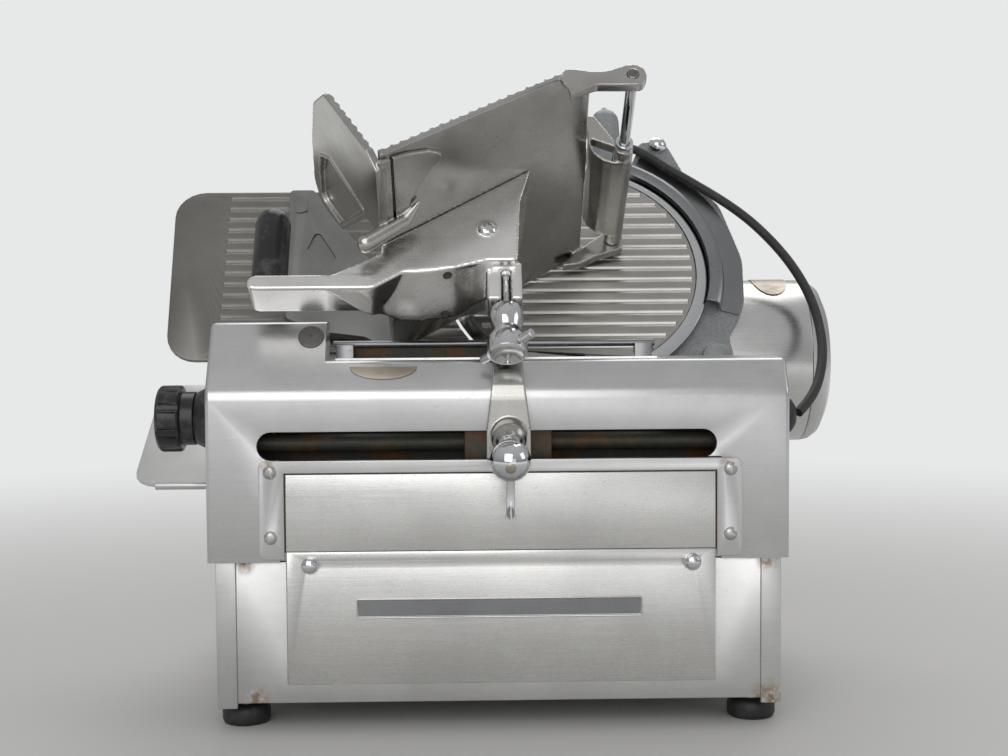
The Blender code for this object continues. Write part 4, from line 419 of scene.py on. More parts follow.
@dataclass(frozen=True)
class Moulded:
    """A moulded plastic or rubber with dust and scuffs."""

    name: str
    colour: Triple
    roughness: float = 0.35
    dust: Triple = (0.16, 0.16, 0.155)
    dusty: float = 0.35
    grain: float = 0.00003

    def make(self) -> bpy.types.Material:
        """Build the material.

        Returns:
            The material.
        """
        graph = Graph(self.name)
        shader = graph.shader
        scuffs = graph.noise(1.0, 3.0, 0.6, graph.stretched((120.0, 260.0, 900.0), (0.4, 0.2, 0.7)))
        grain = graph.noise(900.0, 2.0, 0.5)
        film = graph.noise(60.0, 5.0, 0.7).ramp(0.48, 0.72) * self.dusty + scuffs.ramp(0.62, 0.72) * 0.12
        graph.feed(shader.inputs["Base Color"], graph.mix(film, self.colour, self.dust))
        graph.feed(shader.inputs["Roughness"], self.roughness + film * 0.35)
        graph.bump(grain * self.grain + scuffs * self.grain, 1.0)
        return graph.material


@dataclass(frozen=True)
class GreaseAndShade:
    """Bare metal of the inside, dark with old grease and rust, and darker still as painted shade: it stands
    for the shade of the inside, of the gaps round the doors and of the bracket's holes.
    """

    name: str
    # nearly black: part old grease, part painted shade of the shaded inside
    colour: Triple = (0.060, 0.062, 0.050)
    rust: Triple = (0.17, 0.085, 0.035)
    roughness: float = 0.55

    def make(self) -> bpy.types.Material:
        """Build the material.

        Returns:
            The material.
        """
        graph = Graph(self.name)
        shader = graph.shader
        patches = graph.noise(16.0, 6.0, 0.7)
        specks = graph.noise(240.0, 4.0, 0.7)
        colour = graph.mix(patches.ramp(0.46, 0.70), self.colour, self.rust)
        colour = graph.shade(colour, 0.6 + specks * 0.8)
        graph.feed(shader.inputs["Base Color"], colour)
        graph.feed(shader.inputs["Roughness"], self.roughness + (patches - 0.5) * 0.5)
        shader.inputs["Metallic"].default_value = 0.4
        graph.bump(specks * 0.0001 + patches * 0.0003, 1.0)
        return graph.material


@dataclass(frozen=True)
class PaleGround:
    """The plain floor of the studio, which fades into the backdrop from near to far."""

    name: str = "pale_ground"
    colour: Triple = (0.60, 0.595, 0.58)
    backdrop: Triple = (0.80, 0.81, 0.81)
    near: float = 0.5
    far: float = 2.2

    def make(self) -> bpy.types.Material:
        """Build the material.

        Returns:
            The material.
        """
        graph = Graph(self.name)
        clouds = graph.noise(1.6, 5.0, 0.6)
        low = tuple(c * 0.96 for c in self.colour)
        graph.feed(graph.shader.inputs["Base Color"], graph.mix(clouds, low, self.colour))
        graph.shader.inputs["Roughness"].default_value = 0.75
        far = graph.node("ShaderNodeVectorMath", {"operation": "LENGTH"}, {0: graph.place}, output="Value")
        glow = graph.node("ShaderNodeEmission", {}, {"Color": self.backdrop})
        ground = Socket(graph, graph.shader.outputs[0])
        values = {0: far.ramp(self.near, self.far), 1: ground, 2: glow}
        blend = graph.node("ShaderNodeMixShader", {}, values)
        graph.feed(graph.tree.nodes["Material Output"].inputs["Surface"], blend)
        return graph.material


class Finish(Enum):
    """The finishes, each with the record's material slot."""

    COVER = "satin_aluminium"
    PANEL = "satin_aluminium."
    BASE = "satin_aluminium.."
    CAP = "satin_aluminium..."
    CHUTE = "polished_aluminium"
    # the bracket's aluminium, brightened as a painted reflection
    BRACKET = "polished_aluminium...."
    END = "blue_grey_paint."
    DRUM = "polished_aluminium."
    FLUTED = "polished_aluminium.."
    TRAY = "polished_aluminium..."
    GAUGE = "brushed_steel"
    GUARD = "brushed_steel."
    RING = "brushed_steel.."
    CHROME = "chrome"
    KNIFE = "chrome."
    CASTING = "blue_grey_paint"
    IRON = "cast_iron"
    BLACK = "black_plastic"
    RUBBER = "black_rubber"
    BRONZE = "bronze"
    BRASS = "aged_brass"
    STONE = "abrasive"
    ZINC = "zinc_steel"
    # grease and painted shade: the near-black finish of the inside, the door gaps and the holes
    GRIME = "zinc_steel."

    @property
    def slot(self) -> str:
        """The record's slot."""
        return self.value.rstrip(".")


FINISHES = {
    Finish.COVER: Metal(
        "worn_cover_aluminium", colour=(0.60, 0.60, 0.60), roughness=0.30, tone=0.05, wave=0.00018,
        wave_scale=9.0, stain=(0.33, 0.24, 0.15), stained=0.10,
        stains=(((-0.2005, -0.1530, 0.2400), 0.012), ((0.2045, -0.1530, 0.2400), 0.010)),
    ),
    Finish.PANEL: Metal(
        "door_aluminium", colour=(0.66, 0.655, 0.64), roughness=0.27, tone=0.06, scratch=0.000025,
        wave=0.00022, wave_scale=7.0, stain=(0.40, 0.30, 0.20), stained=0.05,
    ),
    Finish.BASE: Metal(
        "base_aluminium", colour=(0.62, 0.62, 0.61), roughness=0.31, tone=0.06, wave=0.0002,
        wave_scale=6.0, stain=(0.32, 0.21, 0.11), stained=0.05,
        stains=(((0.2435, -0.1430, 0.0260), 0.022), ((0.2435, -0.1430, 0.1500), 0.014),
                ((-0.2145, -0.1430, 0.0300), 0.016), ((-0.2235, -0.1430, 0.1500), 0.012)),
    ),
    Finish.CAP: Metal(
        "cap_aluminium", colour=(0.58, 0.58, 0.575), roughness=0.42, tone=0.10, brushed=Axis.Y,
        wave=0.0001, wave_scale=20.0, stain=(0.45, 0.45, 0.42), stained=0.25,
    ),
    # Darker than the other polished aluminium: partly its own dull tone, partly painted shade for its
    # down-facing faces.
    Finish.CHUTE: Metal(
        "chute_aluminium", colour=(0.44, 0.43, 0.405), roughness=0.23, tone=0.14, brushed=Axis.Z,
        scratch=0.000012, wave=0.00035, wave_scale=16.0, stain=(0.30, 0.27, 0.23), stained=0.14,
    ),
    # Far brighter than the chute's aluminium: painted reflection of the light that the chute floor keeps
    # off the bracket's face.
    Finish.BRACKET: Metal(
        "bracket_aluminium_painted_bright", colour=(0.84, 0.83, 0.81), roughness=0.25, tone=0.10, scratch=0.000012,
        wave=0.0003, stain=(0.36, 0.33, 0.28), stained=0.08,
    ),
    Finish.END: Metal(
        "end_aluminium", colour=(0.26, 0.26, 0.25), roughness=0.36, tone=0.10, wave=0.0003,
        stain=(0.18, 0.17, 0.15), stained=0.15,
    ),
    Finish.DRUM: Metal(
        "drum_aluminium", colour=(0.64, 0.64, 0.63), roughness=0.26, tone=0.06, wave=0.0001,
        wave_scale=8.0, stain=(0.40, 0.40, 0.38), stained=0.10,
    ),
    Finish.FLUTED: Metal(
        "fluted_aluminium", colour=(0.40, 0.39, 0.365), roughness=0.32, tone=0.10, scratch=0.00003,
        wave=0.00006, wave_scale=20.0, stain=(0.36, 0.33, 0.28), stained=0.10,
    ),
    Finish.TRAY: Metal(
        "tray_aluminium", colour=(0.60, 0.60, 0.59), roughness=0.33, tone=0.09, brushed=Axis.Z,
        scratch=0.00003, wave=0.0002, wave_scale=12.0, stain=(0.36, 0.35, 0.32), stained=0.15,
    ),
    Finish.GAUGE: Metal(
        "gauge_steel", colour=(0.22, 0.213, 0.195), roughness=0.40, tone=0.12, scratch=0.00003,
        wave=0.0001, wave_scale=12.0, stain=(0.26, 0.24, 0.20), stained=0.18,
    ),
    Finish.GUARD: Metal(
        "guard_steel", colour=(0.60, 0.60, 0.60), roughness=0.22, tone=0.06, wave=0.0001, wave_scale=20.0,
    ),
    Finish.RING: Metal(
        "ring_steel", colour=(0.27, 0.275, 0.28), roughness=0.30, tone=0.10, wave=0.0002, wave_scale=12.0,
        stain=(0.20, 0.19, 0.17), stained=0.2,
    ),
    Finish.CHROME: Metal(
        "chrome_plate", colour=(0.66, 0.67, 0.68), roughness=0.07, tone=0.05, scratch=0.000004,
        wave=0.00002, wave_scale=60.0, stain=(0.30, 0.27, 0.22), stained=0.20, roughness_spread=0.06,
    ),
    Finish.KNIFE: Metal(
        "knife_steel", colour=(0.62, 0.63, 0.64), roughness=0.12, tone=0.05, scratch=0.000006,
        wave=0.00002, wave_scale=30.0, stain=(0.36, 0.34, 0.30), stained=0.06, roughness_spread=0.05,
    ),
    Finish.CASTING: Enamel("grey_casting_enamel", colour=(0.27, 0.285, 0.29), worn=(0.42, 0.43, 0.43)),
    Finish.IRON: Enamel(
        "bare_iron", colour=(0.16, 0.155, 0.15), worn=(0.24, 0.20, 0.16), roughness=0.55, pebble=0.00008,
        rubbed=0.4, metallic=0.7,
    ),
    Finish.BLACK: Moulded("black_knob_plastic", colour=(0.012, 0.012, 0.013), roughness=0.28),
    Finish.RUBBER: Moulded(
        "black_rubber_skin", colour=(0.018, 0.018, 0.018), roughness=0.50, dust=(0.12, 0.12, 0.115),
        dusty=0.30,
    ),
    Finish.BRONZE: Metal(
        "gear_bronze", colour=(0.46, 0.31, 0.15), roughness=0.34, tone=0.10, wave=0.0001, wave_scale=20.0,
        stain=(0.16, 0.11, 0.06), stained=0.4,
    ),
    Finish.BRASS: Metal(
        "oval_plate_brass", colour=(0.40, 0.36, 0.30), roughness=0.36, tone=0.14, wave=0.0001,
        wave_scale=40.0, stain=(0.16, 0.13, 0.10), stained=0.5,
    ),
    Finish.STONE: Enamel(
        "grinding_stone", colour=(0.34, 0.30, 0.26), worn=(0.20, 0.19, 0.18), roughness=0.85,
        pebble=0.0002, metallic=0.0,
    ),
    Finish.ZINC: Metal(
        "zinc_plate", colour=(0.50, 0.50, 0.48), roughness=0.34, tone=0.10, wave=0.0001, wave_scale=25.0,
        stain=(0.28, 0.24, 0.18), stained=0.3,
    ),
    # near-black finish that paints the shade of the inside, the door gaps and the holes
    Finish.GRIME: GreaseAndShade("greasy_shaded_inside"),
}


class Paintbox:
    """Makes each finish once."""

    def __init__(self) -> None:
        """Start with nothing made."""
        self.made: dict[Finish, bpy.types.Material] = {}

    def get(self, finish: Finish) -> bpy.types.Material:
        """The material of a finish."""
        if finish not in self.made:
            self.made[finish] = FINISHES[finish].make()
        return self.made[finish]


PAINT = Paintbox()


def select_only(*objects: bpy.types.Object) -> None:
    """Leave only these objects selected, the first one active.

    Args:
        objects: the objects.
    """
    bpy.ops.object.select_all(action="DESELECT")
    for obj in objects:
        obj.select_set(True)
    bpy.context.view_layer.objects.active = objects[0]


def at(x: float, n: float, u: float) -> Vector:
    """A point of the knife frame from its x, its height over the knife and its place up the knife."""
    return Vector((x, -n, u))


def rounded(corners: Sequence[Triple], steps: int = 5) -> list[tuple[float, float]]:
    """An outline with arcs in its corners.

    Args:
        corners: (x, y, radius) for each corner in turn.
        steps: how many chords each arc has.

    Returns:
        The outline's points.
    """
    outline: list[tuple[float, float]] = []
    for index, (x, y, radius) in enumerate(corners):
        here = Vector((x, y))
        before = (Vector(corners[index - 1][:2]) - here).normalized()
        after = (Vector(corners[(index + 1) % len(corners)][:2]) - here).normalized()
        if radius <= 0.0:
            outline.append((x, y))
            continue
        half = before.angle(after) / 2
        first = here + before * radius / math.tan(half)
        middle = here + (before + after).normalized() * (radius / math.sin(half))
        start = first - middle
        sweep = start.angle_signed(here + after * radius / math.tan(half) - middle)
        for step in range(steps + 1):
            outline.append(tuple(middle + Matrix.Rotation(-sweep * step / steps, 2) @ start))
    return outline


@dataclass
class Assembly:
    """A group of pieces that belong together, and the tools that make them."""

    made: list[bpy.types.Object] = field(default_factory=list)

    def build(self) -> None:
        """Make and dress the group's pieces."""
        raise NotImplementedError

    def dress(self, obj: bpy.types.Object, finish: Finish) -> None:
        """Give a piece or node one finish."""
        obj.data.materials.clear()
        obj.data.materials.append(PAINT.get(finish))

    def keep(self, nodes: str, finish: Finish) -> None:
        """Keep nodes as they are, with a finish.

        Args:
            nodes: the nodes' names with spaces between.
            finish: their finish.
        """
        for name in nodes.split():
            self.dress(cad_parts[name], finish)

    def place(
        self, obj: bpy.types.Object, name: str, body: Body, finish: Finish, nodes: str = ""
    ) -> bpy.types.Object:
        """Name, dress and mount a finished piece.

        Args:
            obj: the piece.
            name: its name.
            body: the body it rides on.
            finish: its finish.
            nodes: the nodes it stands for, with spaces between.

        Returns:
            The piece.
        """
        select_only(obj)
        bpy.ops.object.transform_apply(location=True, rotation=True, scale=True)
        obj.name = name
        obj.data.name = name
        self.dress(obj, finish)
        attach(obj, body.value)
        if nodes:
            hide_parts(*nodes.split())
        self.made.append(obj)
        return obj

    def finish_with(self, obj: bpy.types.Object, kind: str, **settings: object) -> None:
        """Add a modifier and apply it.

        Args:
            obj: the piece.
            kind: the modifier's type.
            settings: its settings.
        """
        select_only(obj)
        change = obj.modifiers.new(kind.lower(), kind)
        for name, value in settings.items():
            setattr(change, name, value)
        bpy.ops.object.modifier_apply(modifier=change.name)

    def bevel(
        self, obj: bpy.types.Object, width: float, segments: int, angle: float = 30.0, clamp: bool = True
    ) -> None:
        """Round every edge that is sharper than an angle.

        Args:
            obj: the piece.
            width: the width of the rounding.
            segments: how many faces it has.
            angle: the angle in degrees.
            clamp: whether the width stops where two roundings would meet.
        """
        self.finish_with(obj, "BEVEL", width=width, segments=segments, limit_method="ANGLE",
                         angle_limit=math.radians(angle), use_clamp_overlap=clamp)

    def melt(self, obj: bpy.types.Object, voxel: float, rounds: int, keep: float = 1.0) -> None:
        """Make a mesh anew on a grid and smooth it, which gives it the soft edges of a casting.

        Args:
            obj: the piece.
            voxel: the size of the grid.
            rounds: how many times it is smoothed.
            keep: the share of its faces to keep.
        """
        self.finish_with(obj, "REMESH", mode="VOXEL", voxel_size=voxel, adaptivity=0.0)
        self.finish_with(obj, "SMOOTH", factor=0.5, iterations=rounds)
        if keep < 1.0:
            self.finish_with(obj, "DECIMATE", ratio=keep)

    def copy_of(self, node: str) -> bpy.types.Object:
        """Copy a node's mesh to a new object and merge its loose triangles.

        Args:
            node: the node's name.

        Returns:
            The copy.
        """
        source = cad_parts[node]
        obj = bpy.data.objects.new(node + "_copy", source.data.copy())
        bpy.context.scene.collection.objects.link(obj)
        select_only(obj)
        bpy.ops.object.mode_set(mode="EDIT")
        bpy.ops.mesh.select_all(action="SELECT")
        bpy.ops.mesh.remove_doubles(threshold=0.000004)
        bpy.ops.mesh.dissolve_limited(angle_limit=math.radians(0.6))
        bpy.ops.object.mode_set(mode="OBJECT")
        return obj

    def soften(
        self, node: str, width: float, body: Body, finish: Finish, segments: int = 3, angle: float = 32.0,
    ) -> bpy.types.Object:
        """Replace a node by a copy with rounded edges.

        Args:
            node: the node's name.
            width: the width of the rounding.
            body: the body it rides on.
            finish: its finish.
            segments: how many faces the rounding has.
            angle: edges sharper than this many degrees are rounded.

        Returns:
            The piece.
        """
        obj = self.copy_of(node)
        self.bevel(obj, width, segments, angle, clamp=False)
        self.smooth(obj)
        return self.place(obj, node + "_finished", body, finish, node)

    def cast(
        self, node: str, voxel: float, body: Body, finish: Finish, rounds: int = 6, keep: float = 1.0,
    ) -> bpy.types.Object:
        """Replace a node by a copy with the soft edges of a casting.

        Args:
            node: the node's name.
            voxel: the size of the grid that it is made anew on.
            body: the body it rides on.
            finish: its finish.
            rounds: how many times it is smoothed.
            keep: the share of its faces to keep.

        Returns:
            The piece.
        """
        obj = self.copy_of(node)
        self.melt(obj, voxel, rounds, keep)
        self.smooth(obj, 60.0)
        return self.place(obj, node + "_finished", body, finish, node)

    def smooth(self, obj: bpy.types.Object, angle: float = 35.0) -> None:
        """Shade smooth across edges flatter than an angle in degrees."""
        select_only(obj)
        bpy.ops.object.shade_smooth_by_angle(angle=math.radians(angle))

    def sketch(
        self, outline: Sequence[tuple[float, float]], low: float, high: float, matrix: Matrix,
    ) -> bpy.types.Object:
        """Extrude an outline of a frame's x and z along its y.

        Args:
            outline: the (x, z) points.
            low: where the solid starts along y.
            high: where it ends.
            matrix: the frame.

        Returns:
            The solid.
        """
        bpy.ops.object.select_all(action="DESELECT")
        bpy.ops.mesh.primitive_circle_add(vertices=len(outline), radius=1.0, fill_type="NGON")
        obj = bpy.context.object
        for vertex, (x, z) in zip(obj.data.vertices, outline):
            vertex.co = (x, low, z)
        bpy.ops.object.mode_set(mode="EDIT")
        bpy.ops.mesh.select_all(action="SELECT")
        bpy.ops.mesh.extrude_region_move(TRANSFORM_OT_translate={"value": (0.0, high - low, 0.0)})
        bpy.ops.object.mode_set(mode="OBJECT")
        obj.data.transform(matrix)
        bpy.ops.object.mode_set(mode="EDIT")
        bpy.ops.mesh.select_all(action="SELECT")
        bpy.ops.mesh.normals_make_consistent(inside=False)
        bpy.ops.object.mode_set(mode="OBJECT")
        return obj

    def round_edges(
        self, obj: bpy.types.Object, width: float, segments: int, low: Triple, high: Triple,
        angle: float = 20.0,
    ) -> None:
        """Round the sharp edges whose middles lie in a box of the row frame.

        Args:
            obj: the piece.
            width: the width of the rounding.
            segments: how many faces it has.
            low: the box's low corner.
            high: the box's high corner.
            angle: edges flatter than this many degrees stay.
        """
        select_only(obj)
        bpy.ops.object.mode_set(mode="EDIT")
        bpy.ops.mesh.select_mode(type="EDGE")
        bpy.ops.mesh.select_all(action="DESELECT")
        shape = bmesh.from_edit_mesh(obj.data)
        for edge in shape.edges:
            middle = (edge.verts[0].co + edge.verts[1].co) / 2
            inside = all(a <= m <= b for a, m, b in zip(low, middle, high))
            if inside and len(edge.link_faces) == 2 and edge.calc_face_angle(0.0) > math.radians(angle):
                edge.select = True
        bmesh.update_edit_mesh(obj.data)
        bpy.ops.mesh.bevel(offset=width, segments=segments, profile=0.5, affect="EDGES")
        bpy.ops.mesh.select_mode(type="VERT")
        bpy.ops.object.mode_set(mode="OBJECT")

    def ring(
        self, centre: Vector, out: Vector, radius: float, profile: Sequence[tuple[float, float]],
        matrix: Matrix, steps: int = 32,
    ) -> bpy.types.Object:
        """A disc or dome on a surface, spun from a profile given in parts of its radius.

        Args:
            centre: the middle of its underside.
            out: the way it faces.
            radius: its radius.
            profile: (part of the radius, height) points from the middle outwards.
            matrix: the frame of centre and out.
            steps: how many faces go round.

        Returns:
            The solid.
        """
        outline = [(part * radius, height) for part, height in profile]
        return self.spun(outline + [(0.0, outline[-1][1])], centre, centre + out, matrix, steps)

    def spun(
        self, profile: Sequence[tuple[float, float]], start: Vector, end: Vector, matrix: Matrix,
        steps: int = 48,
    ) -> bpy.types.Object:
        """Spin a profile round the line from start to end.

        Args:
            profile: (radius, height) points, with the first and last on the axis for a solid.
            start: the point that height 0 stands for.
            end: a point further along the axis.
            matrix: the frame of start and end.
            steps: how many faces go round.

        Returns:
            The solid.
        """
        bpy.ops.object.select_all(action="DESELECT")
        bpy.ops.mesh.primitive_circle_add(vertices=max(len(profile), 3), radius=1.0, fill_type="NOTHING")
        obj = bpy.context.object
        shape = bmesh.new()
        points = [shape.verts.new((radius, 0.0, height)) for radius, height in profile]
        for first, second in zip(points, points[1:]):
            shape.edges.new((first, second))
        if profile[0][0] > 0.0:
            shape.edges.new((points[-1], points[0]))
        shape.to_mesh(obj.data)
        shape.free()
        select_only(obj)
        bpy.ops.object.mode_set(mode="EDIT")
        bpy.ops.mesh.select_all(action="SELECT")
        bpy.ops.mesh.spin(steps=steps, angle=math.tau, center=(0.0, 0.0, 0.0), axis=(0.0, 0.0, 1.0))
        bpy.ops.mesh.select_all(action="SELECT")
        bpy.ops.mesh.remove_doubles(threshold=0.000005)
        bpy.ops.mesh.normals_make_consistent(inside=False)
        bpy.ops.object.mode_set(mode="OBJECT")
        run = end - start
        turn = Vector((0.0, 0.0, 1.0)).rotation_difference(run.normalized()).to_matrix().to_4x4()
        obj.data.transform(matrix @ Matrix.Translation(start) @ turn)
        self.smooth(obj)
        return obj

    def bar(
        self, start: Vector, end: Vector, radius: float, matrix: Matrix, rim: float = 0.0, sides: int = 24,
    ) -> bpy.types.Object:
        """A round bar with rounded rims.

        Args:
            start: its first end.
            end: its other end.
            radius: its radius.
            matrix: the frame of its ends.
            rim: the radius of the rims.
            sides: how many faces go round.

        Returns:
            The solid.
        """
        length = (end - start).length
        rim = max(rim, 0.0002)
        turn = [(radius - rim + rim * math.sin(a), rim - rim * math.cos(a))
                for a in (0.0, 0.5, 1.05, math.pi / 2)]
        profile = [(0.0, 0.0)] + turn + [(r, length - h) for r, h in reversed(turn)] + [(0.0, length)]
        return self.spun(profile, start, end, matrix, sides)

    def carve(
        self, obj: bpy.types.Object, cutters: Iterable[bpy.types.Object], operation: str = "DIFFERENCE"
    ) -> None:
        """Apply a Boolean with each cutter and remove it.

        Args:
            obj: the piece.
            cutters: the solids to cut with.
            operation: DIFFERENCE, UNION or INTERSECT.
        """
        for cutter in cutters:
            self.finish_with(obj, "BOOLEAN", operation=operation, solver="EXACT", object=cutter)
            bpy.data.objects.remove(cutter, do_unlink=True)

    def screw_head(
        self, centre: Vector, out: Vector, radius: float, slot_turn: float, matrix: Matrix, height: float,
    ) -> bpy.types.Object:
        """A domed screw head with a slot.

        Args:
            centre: the middle of its underside.
            out: the way it faces.
            radius: its radius.
            slot_turn: the slot's angle from its first side axis, in radians.
            matrix: the frame of centre and out.
            height: how far it stands up.

        Returns:
            The solid.
        """
        head = self.spun(
            [(0.0, height), (radius * 0.45, height * 0.93), (radius * 0.8, height * 0.66),
             (radius, height * 0.15), (radius, -0.0004), (0.0, -0.0004)], centre, centre + out, matrix, 28)
        side = out.orthogonal().normalized()
        side = Matrix.Rotation(slot_turn, 3, out) @ side
        across = out.cross(side)
        bpy.ops.mesh.primitive_cube_add(size=1.0)
        slot = bpy.context.object
        basis = Matrix((side, across, out)).transposed().to_4x4()
        size = Matrix.Diagonal((radius * 2.4, radius * 0.26, height * 0.9, 1.0))
        slot.data.transform(matrix @ Matrix.Translation(centre + out * height * 0.95) @ basis @ size)
        self.carve(head, [slot])
        return head


@dataclass
class Lead(Assembly):
    """The black lead from the cover to the switch post, and its grommet."""

    diameter: float = 0.0094
    start_x: float = 0.2794

    def route(self) -> list[Vector]:
        """Work out the route's points in the row frame, as in the solids.

        Returns:
            The points.
        """
        bench = [
            (self.start_x, 0.0620, 0.2775), (0.2885, 0.0700, 0.2850), (0.2990, 0.0820, 0.2960),
            (0.3078, 0.0980, 0.3110), (0.3140, 0.1160, 0.3290), (0.3170, 0.1370, 0.3500),
            (0.3150, 0.1600, 0.3760), (0.3060, 0.1830, 0.4040), (0.2900, 0.2050, 0.4320),
            (0.2660, 0.2235, 0.4600)]
        knife = [
            (0.1575, -0.004, 0.0860), (0.1275, -0.004, 0.1105), (0.0980, -0.004, 0.1335),
            (0.0796, -0.004, 0.1494), (0.0682, -0.0067, 0.1590), (0.0590, -0.0149, 0.1672),
            (0.0534, -0.0272, 0.1724), (0.0518, -0.0445, 0.1742)]
        points = [BENCH @ Vector(p) for p in bench] + [KNIFE @ at(*p) for p in knife]
        ends = [points[0] * 2 - points[1]] + points + [points[-1] * 2 - points[-2]]
        line = []
        count = 40
        spans = len(points) - 1
        for index in range(count):
            place = spans * index / (count - 1)
            span = min(int(place), spans - 1)
            t = place - span
            a, b, c, d = ends[span:span + 4]
            line.append(((b * 2) + (c - a) * t + (a * 2 - b * 5 + c * 4 - d) * t * t
                         + (b * 3 - a - c * 3 + d) * t * t * t) / 2)
        return line

    def build(self) -> None:
        line = self.route()
        curve = bpy.data.curves.new("lead_line", "CURVE")
        curve.dimensions = "3D"
        curve.bevel_depth = self.diameter / 2
        curve.bevel_resolution = 5
        curve.use_fill_caps = True
        curve.resolution_u = 3
        spline = curve.splines.new("NURBS")
        spline.points.add(len(line) - 1)
        for point, place in zip(spline.points, line):
            point.co = (*place, 1.0)
        spline.use_endpoint_u = True
        spline.order_u = 4
        obj = bpy.data.objects.new("lead_skin", curve)
        bpy.context.scene.collection.objects.link(obj)
        obj.data.materials.append(PAINT.get(Finish.RUBBER))
        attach(obj, Body.FRAME.value)
        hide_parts("lead")
        length = sum((b - a).length for a, b in zip(line, line[1:]))
        self.soften("lead_grommet", 0.0012, Body.FRAME, Finish.RUBBER)


@dataclass
class Casing(Assembly):
    """The cover, its doors and ears, the base and its feet."""

    cover_edge: float = 0.0012
    cover_half: float = 0.259
    side_edge: float = 0.0042
    sheet_edge: float = 0.0007

    def build(self) -> None:
        """Make the casing's pieces."""
        self.cover()
        self.soften("upper_door", self.sheet_edge, Body.FRAME, Finish.PANEL)
        self.soften("lower_door", self.sheet_edge, Body.DOOR, Finish.PANEL)
        self.soften("lower_case", self.sheet_edge, Body.FRAME, Finish.BASE)
        self.soften("door_frame", 0.0005, Body.FRAME, Finish.COVER)
        self.badge()
        # dark lines of painted shade in the gaps round the doors
        self.gap_shade("upper_door")
        self.gap_shade("lower_door")
        self.soften("door_knob_left", 0.0004, Body.DOOR_LEFT, Finish.CHROME)
        self.soften("door_knob_right", 0.0004, Body.DOOR_RIGHT, Finish.CHROME)
        self.soften("oval_plate", 0.0003, Body.FRAME, Finish.BRASS)
        self.screws()
        self.plug()
        for side in ("front_left", "back_left", "front_right", "back_right"):
            self.soften("foot_" + side, 0.0012, Body.FRAME, Finish.RUBBER)
        self.keep("floor_pan tray_bracket", Finish.ZINC)
        # the inside parts get the near-black finish, which paints their shade into them
        self.keep("drive_plate slide_rod", Finish.GRIME)
        self.keep("idler_pulley drive_pulley drive_worm", Finish.BRONZE)
        self.keep("drive_belt", Finish.RUBBER)
        self.keep("drive_motor", Finish.IRON)

    def cover(self) -> None:
        """Round the cover's outer side edges more than its others."""
        obj = self.copy_of("upper_cover")
        for side in (-1.0, 1.0):
            edge = side * self.cover_half - CENTRE.x
            low = (edge - 0.0002, -0.16, 0.155)
            high = (edge + 0.0002, 0.2, 0.6)
            self.round_edges(obj, self.side_edge, 5, low, high)
        self.bevel(obj, self.cover_edge, 3, 32.0)
        self.smooth(obj)
        self.place(obj, "upper_cover_finished", Body.FRAME, Finish.COVER, "upper_cover")

    def badge(self) -> None:
        """The bare badge place, a raised rim round a darker ground."""
        obj = self.copy_of("badge_plate")
        select_only(obj)
        bpy.ops.object.mode_set(mode="EDIT")
        bpy.ops.mesh.select_mode(type="FACE")
        bpy.ops.mesh.select_all(action="DESELECT")
        shape = bmesh.from_edit_mesh(obj.data)
        face = min(shape.faces, key=lambda f: (f.calc_center_median().y, -f.calc_area()))
        face.select = True
        bmesh.update_edit_mesh(obj.data)
        low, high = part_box("badge_plate")
        bpy.ops.mesh.inset(thickness=0.0013, depth=0.0)
        bpy.ops.mesh.inset(thickness=0.0004, depth=-0.0011)
        bpy.ops.mesh.select_mode(type="VERT")
        bpy.ops.object.mode_set(mode="OBJECT")
        self.bevel(obj, 0.0004, 2)
        self.smooth(obj)
        self.place(obj, "badge_rim", Body.DOOR, Finish.GUARD, "badge_plate")
        rim = 0.0021
        outline = rounded([(low.x + rim, low.z + rim, 0.001), (high.x - rim, low.z + rim, 0.001),
                           (high.x - rim, high.z - rim, 0.001), (low.x + rim, high.z - rim, 0.001)])
        ground = self.sketch(outline, low.y + 0.0008, low.y + 0.0016, Matrix.Identity(4))
        self.bevel(ground, 0.0001, 1)
        self.place(ground, "badge_ground", Body.DOOR, Finish.RING)

    def gap_shade(self, node: str) -> None:
        """The dark line of painted shade in the gap round a door, on the sheet behind it.

        Args:
            node: the door.
        """
        low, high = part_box(node)
        rim = 0.0014
        outline = [(low.x - rim, low.z - rim), (high.x + rim, low.z - rim), (high.x + rim, high.z + rim),
                   (low.x - rim, high.z + rim)]
        inner = [(low.x - 0.0001, low.z - 0.0001), (high.x + 0.0001, low.z - 0.0001),
                 (high.x + 0.0001, high.z + 0.0001), (low.x - 0.0001, high.z + 0.0001)]
        line = self.sketch(outline, high.y - 0.0006, high.y + 0.0001, Matrix.Identity(4))
        self.carve(line, [self.sketch(inner, high.y - 0.01, high.y + 0.01, Matrix.Identity(4))])
        self.bevel(line, 0.0001, 1)
        self.place(line, node + "_seam", Body.FRAME, Finish.GRIME)

    def screws(self) -> None:
        """Slotted heads over the four screws of the door frame's ears."""
        turns = (0.2, 1.2, 2.0, 0.9)
        spots = [(x, z) for x in (-0.2018, 0.2058) for z in (0.1755, 0.2335)]
        for index, ((x, z), turn) in enumerate(zip(spots, turns)):
            place = Vector((x, -0.0024, z))
            head = self.screw_head(place, Vector((0.0, -1.0, 0.0)), 0.0060, turn, BENCH, 0.0026)
            self.place(head, f"ear_screw_{index}", Body.FRAME, Finish.ZINC)

    def plug(self) -> None:
        """The round plug in the slope of the cover's left block."""
        disc = self.ring(at(-0.250, 0.0921, -0.1356), at(0.0, 1.0, 0.0), 0.0117, [
            (0.0, 0.0006), (0.09, 0.0006), (0.10, 0.0014), (0.86, 0.0017), (0.93, 0.0015), (1.0, 0.0008),
            (1.0, -0.0006)], KNIFE)
        self.place(disc, "cover_plug", Body.FRAME, Finish.IRON)


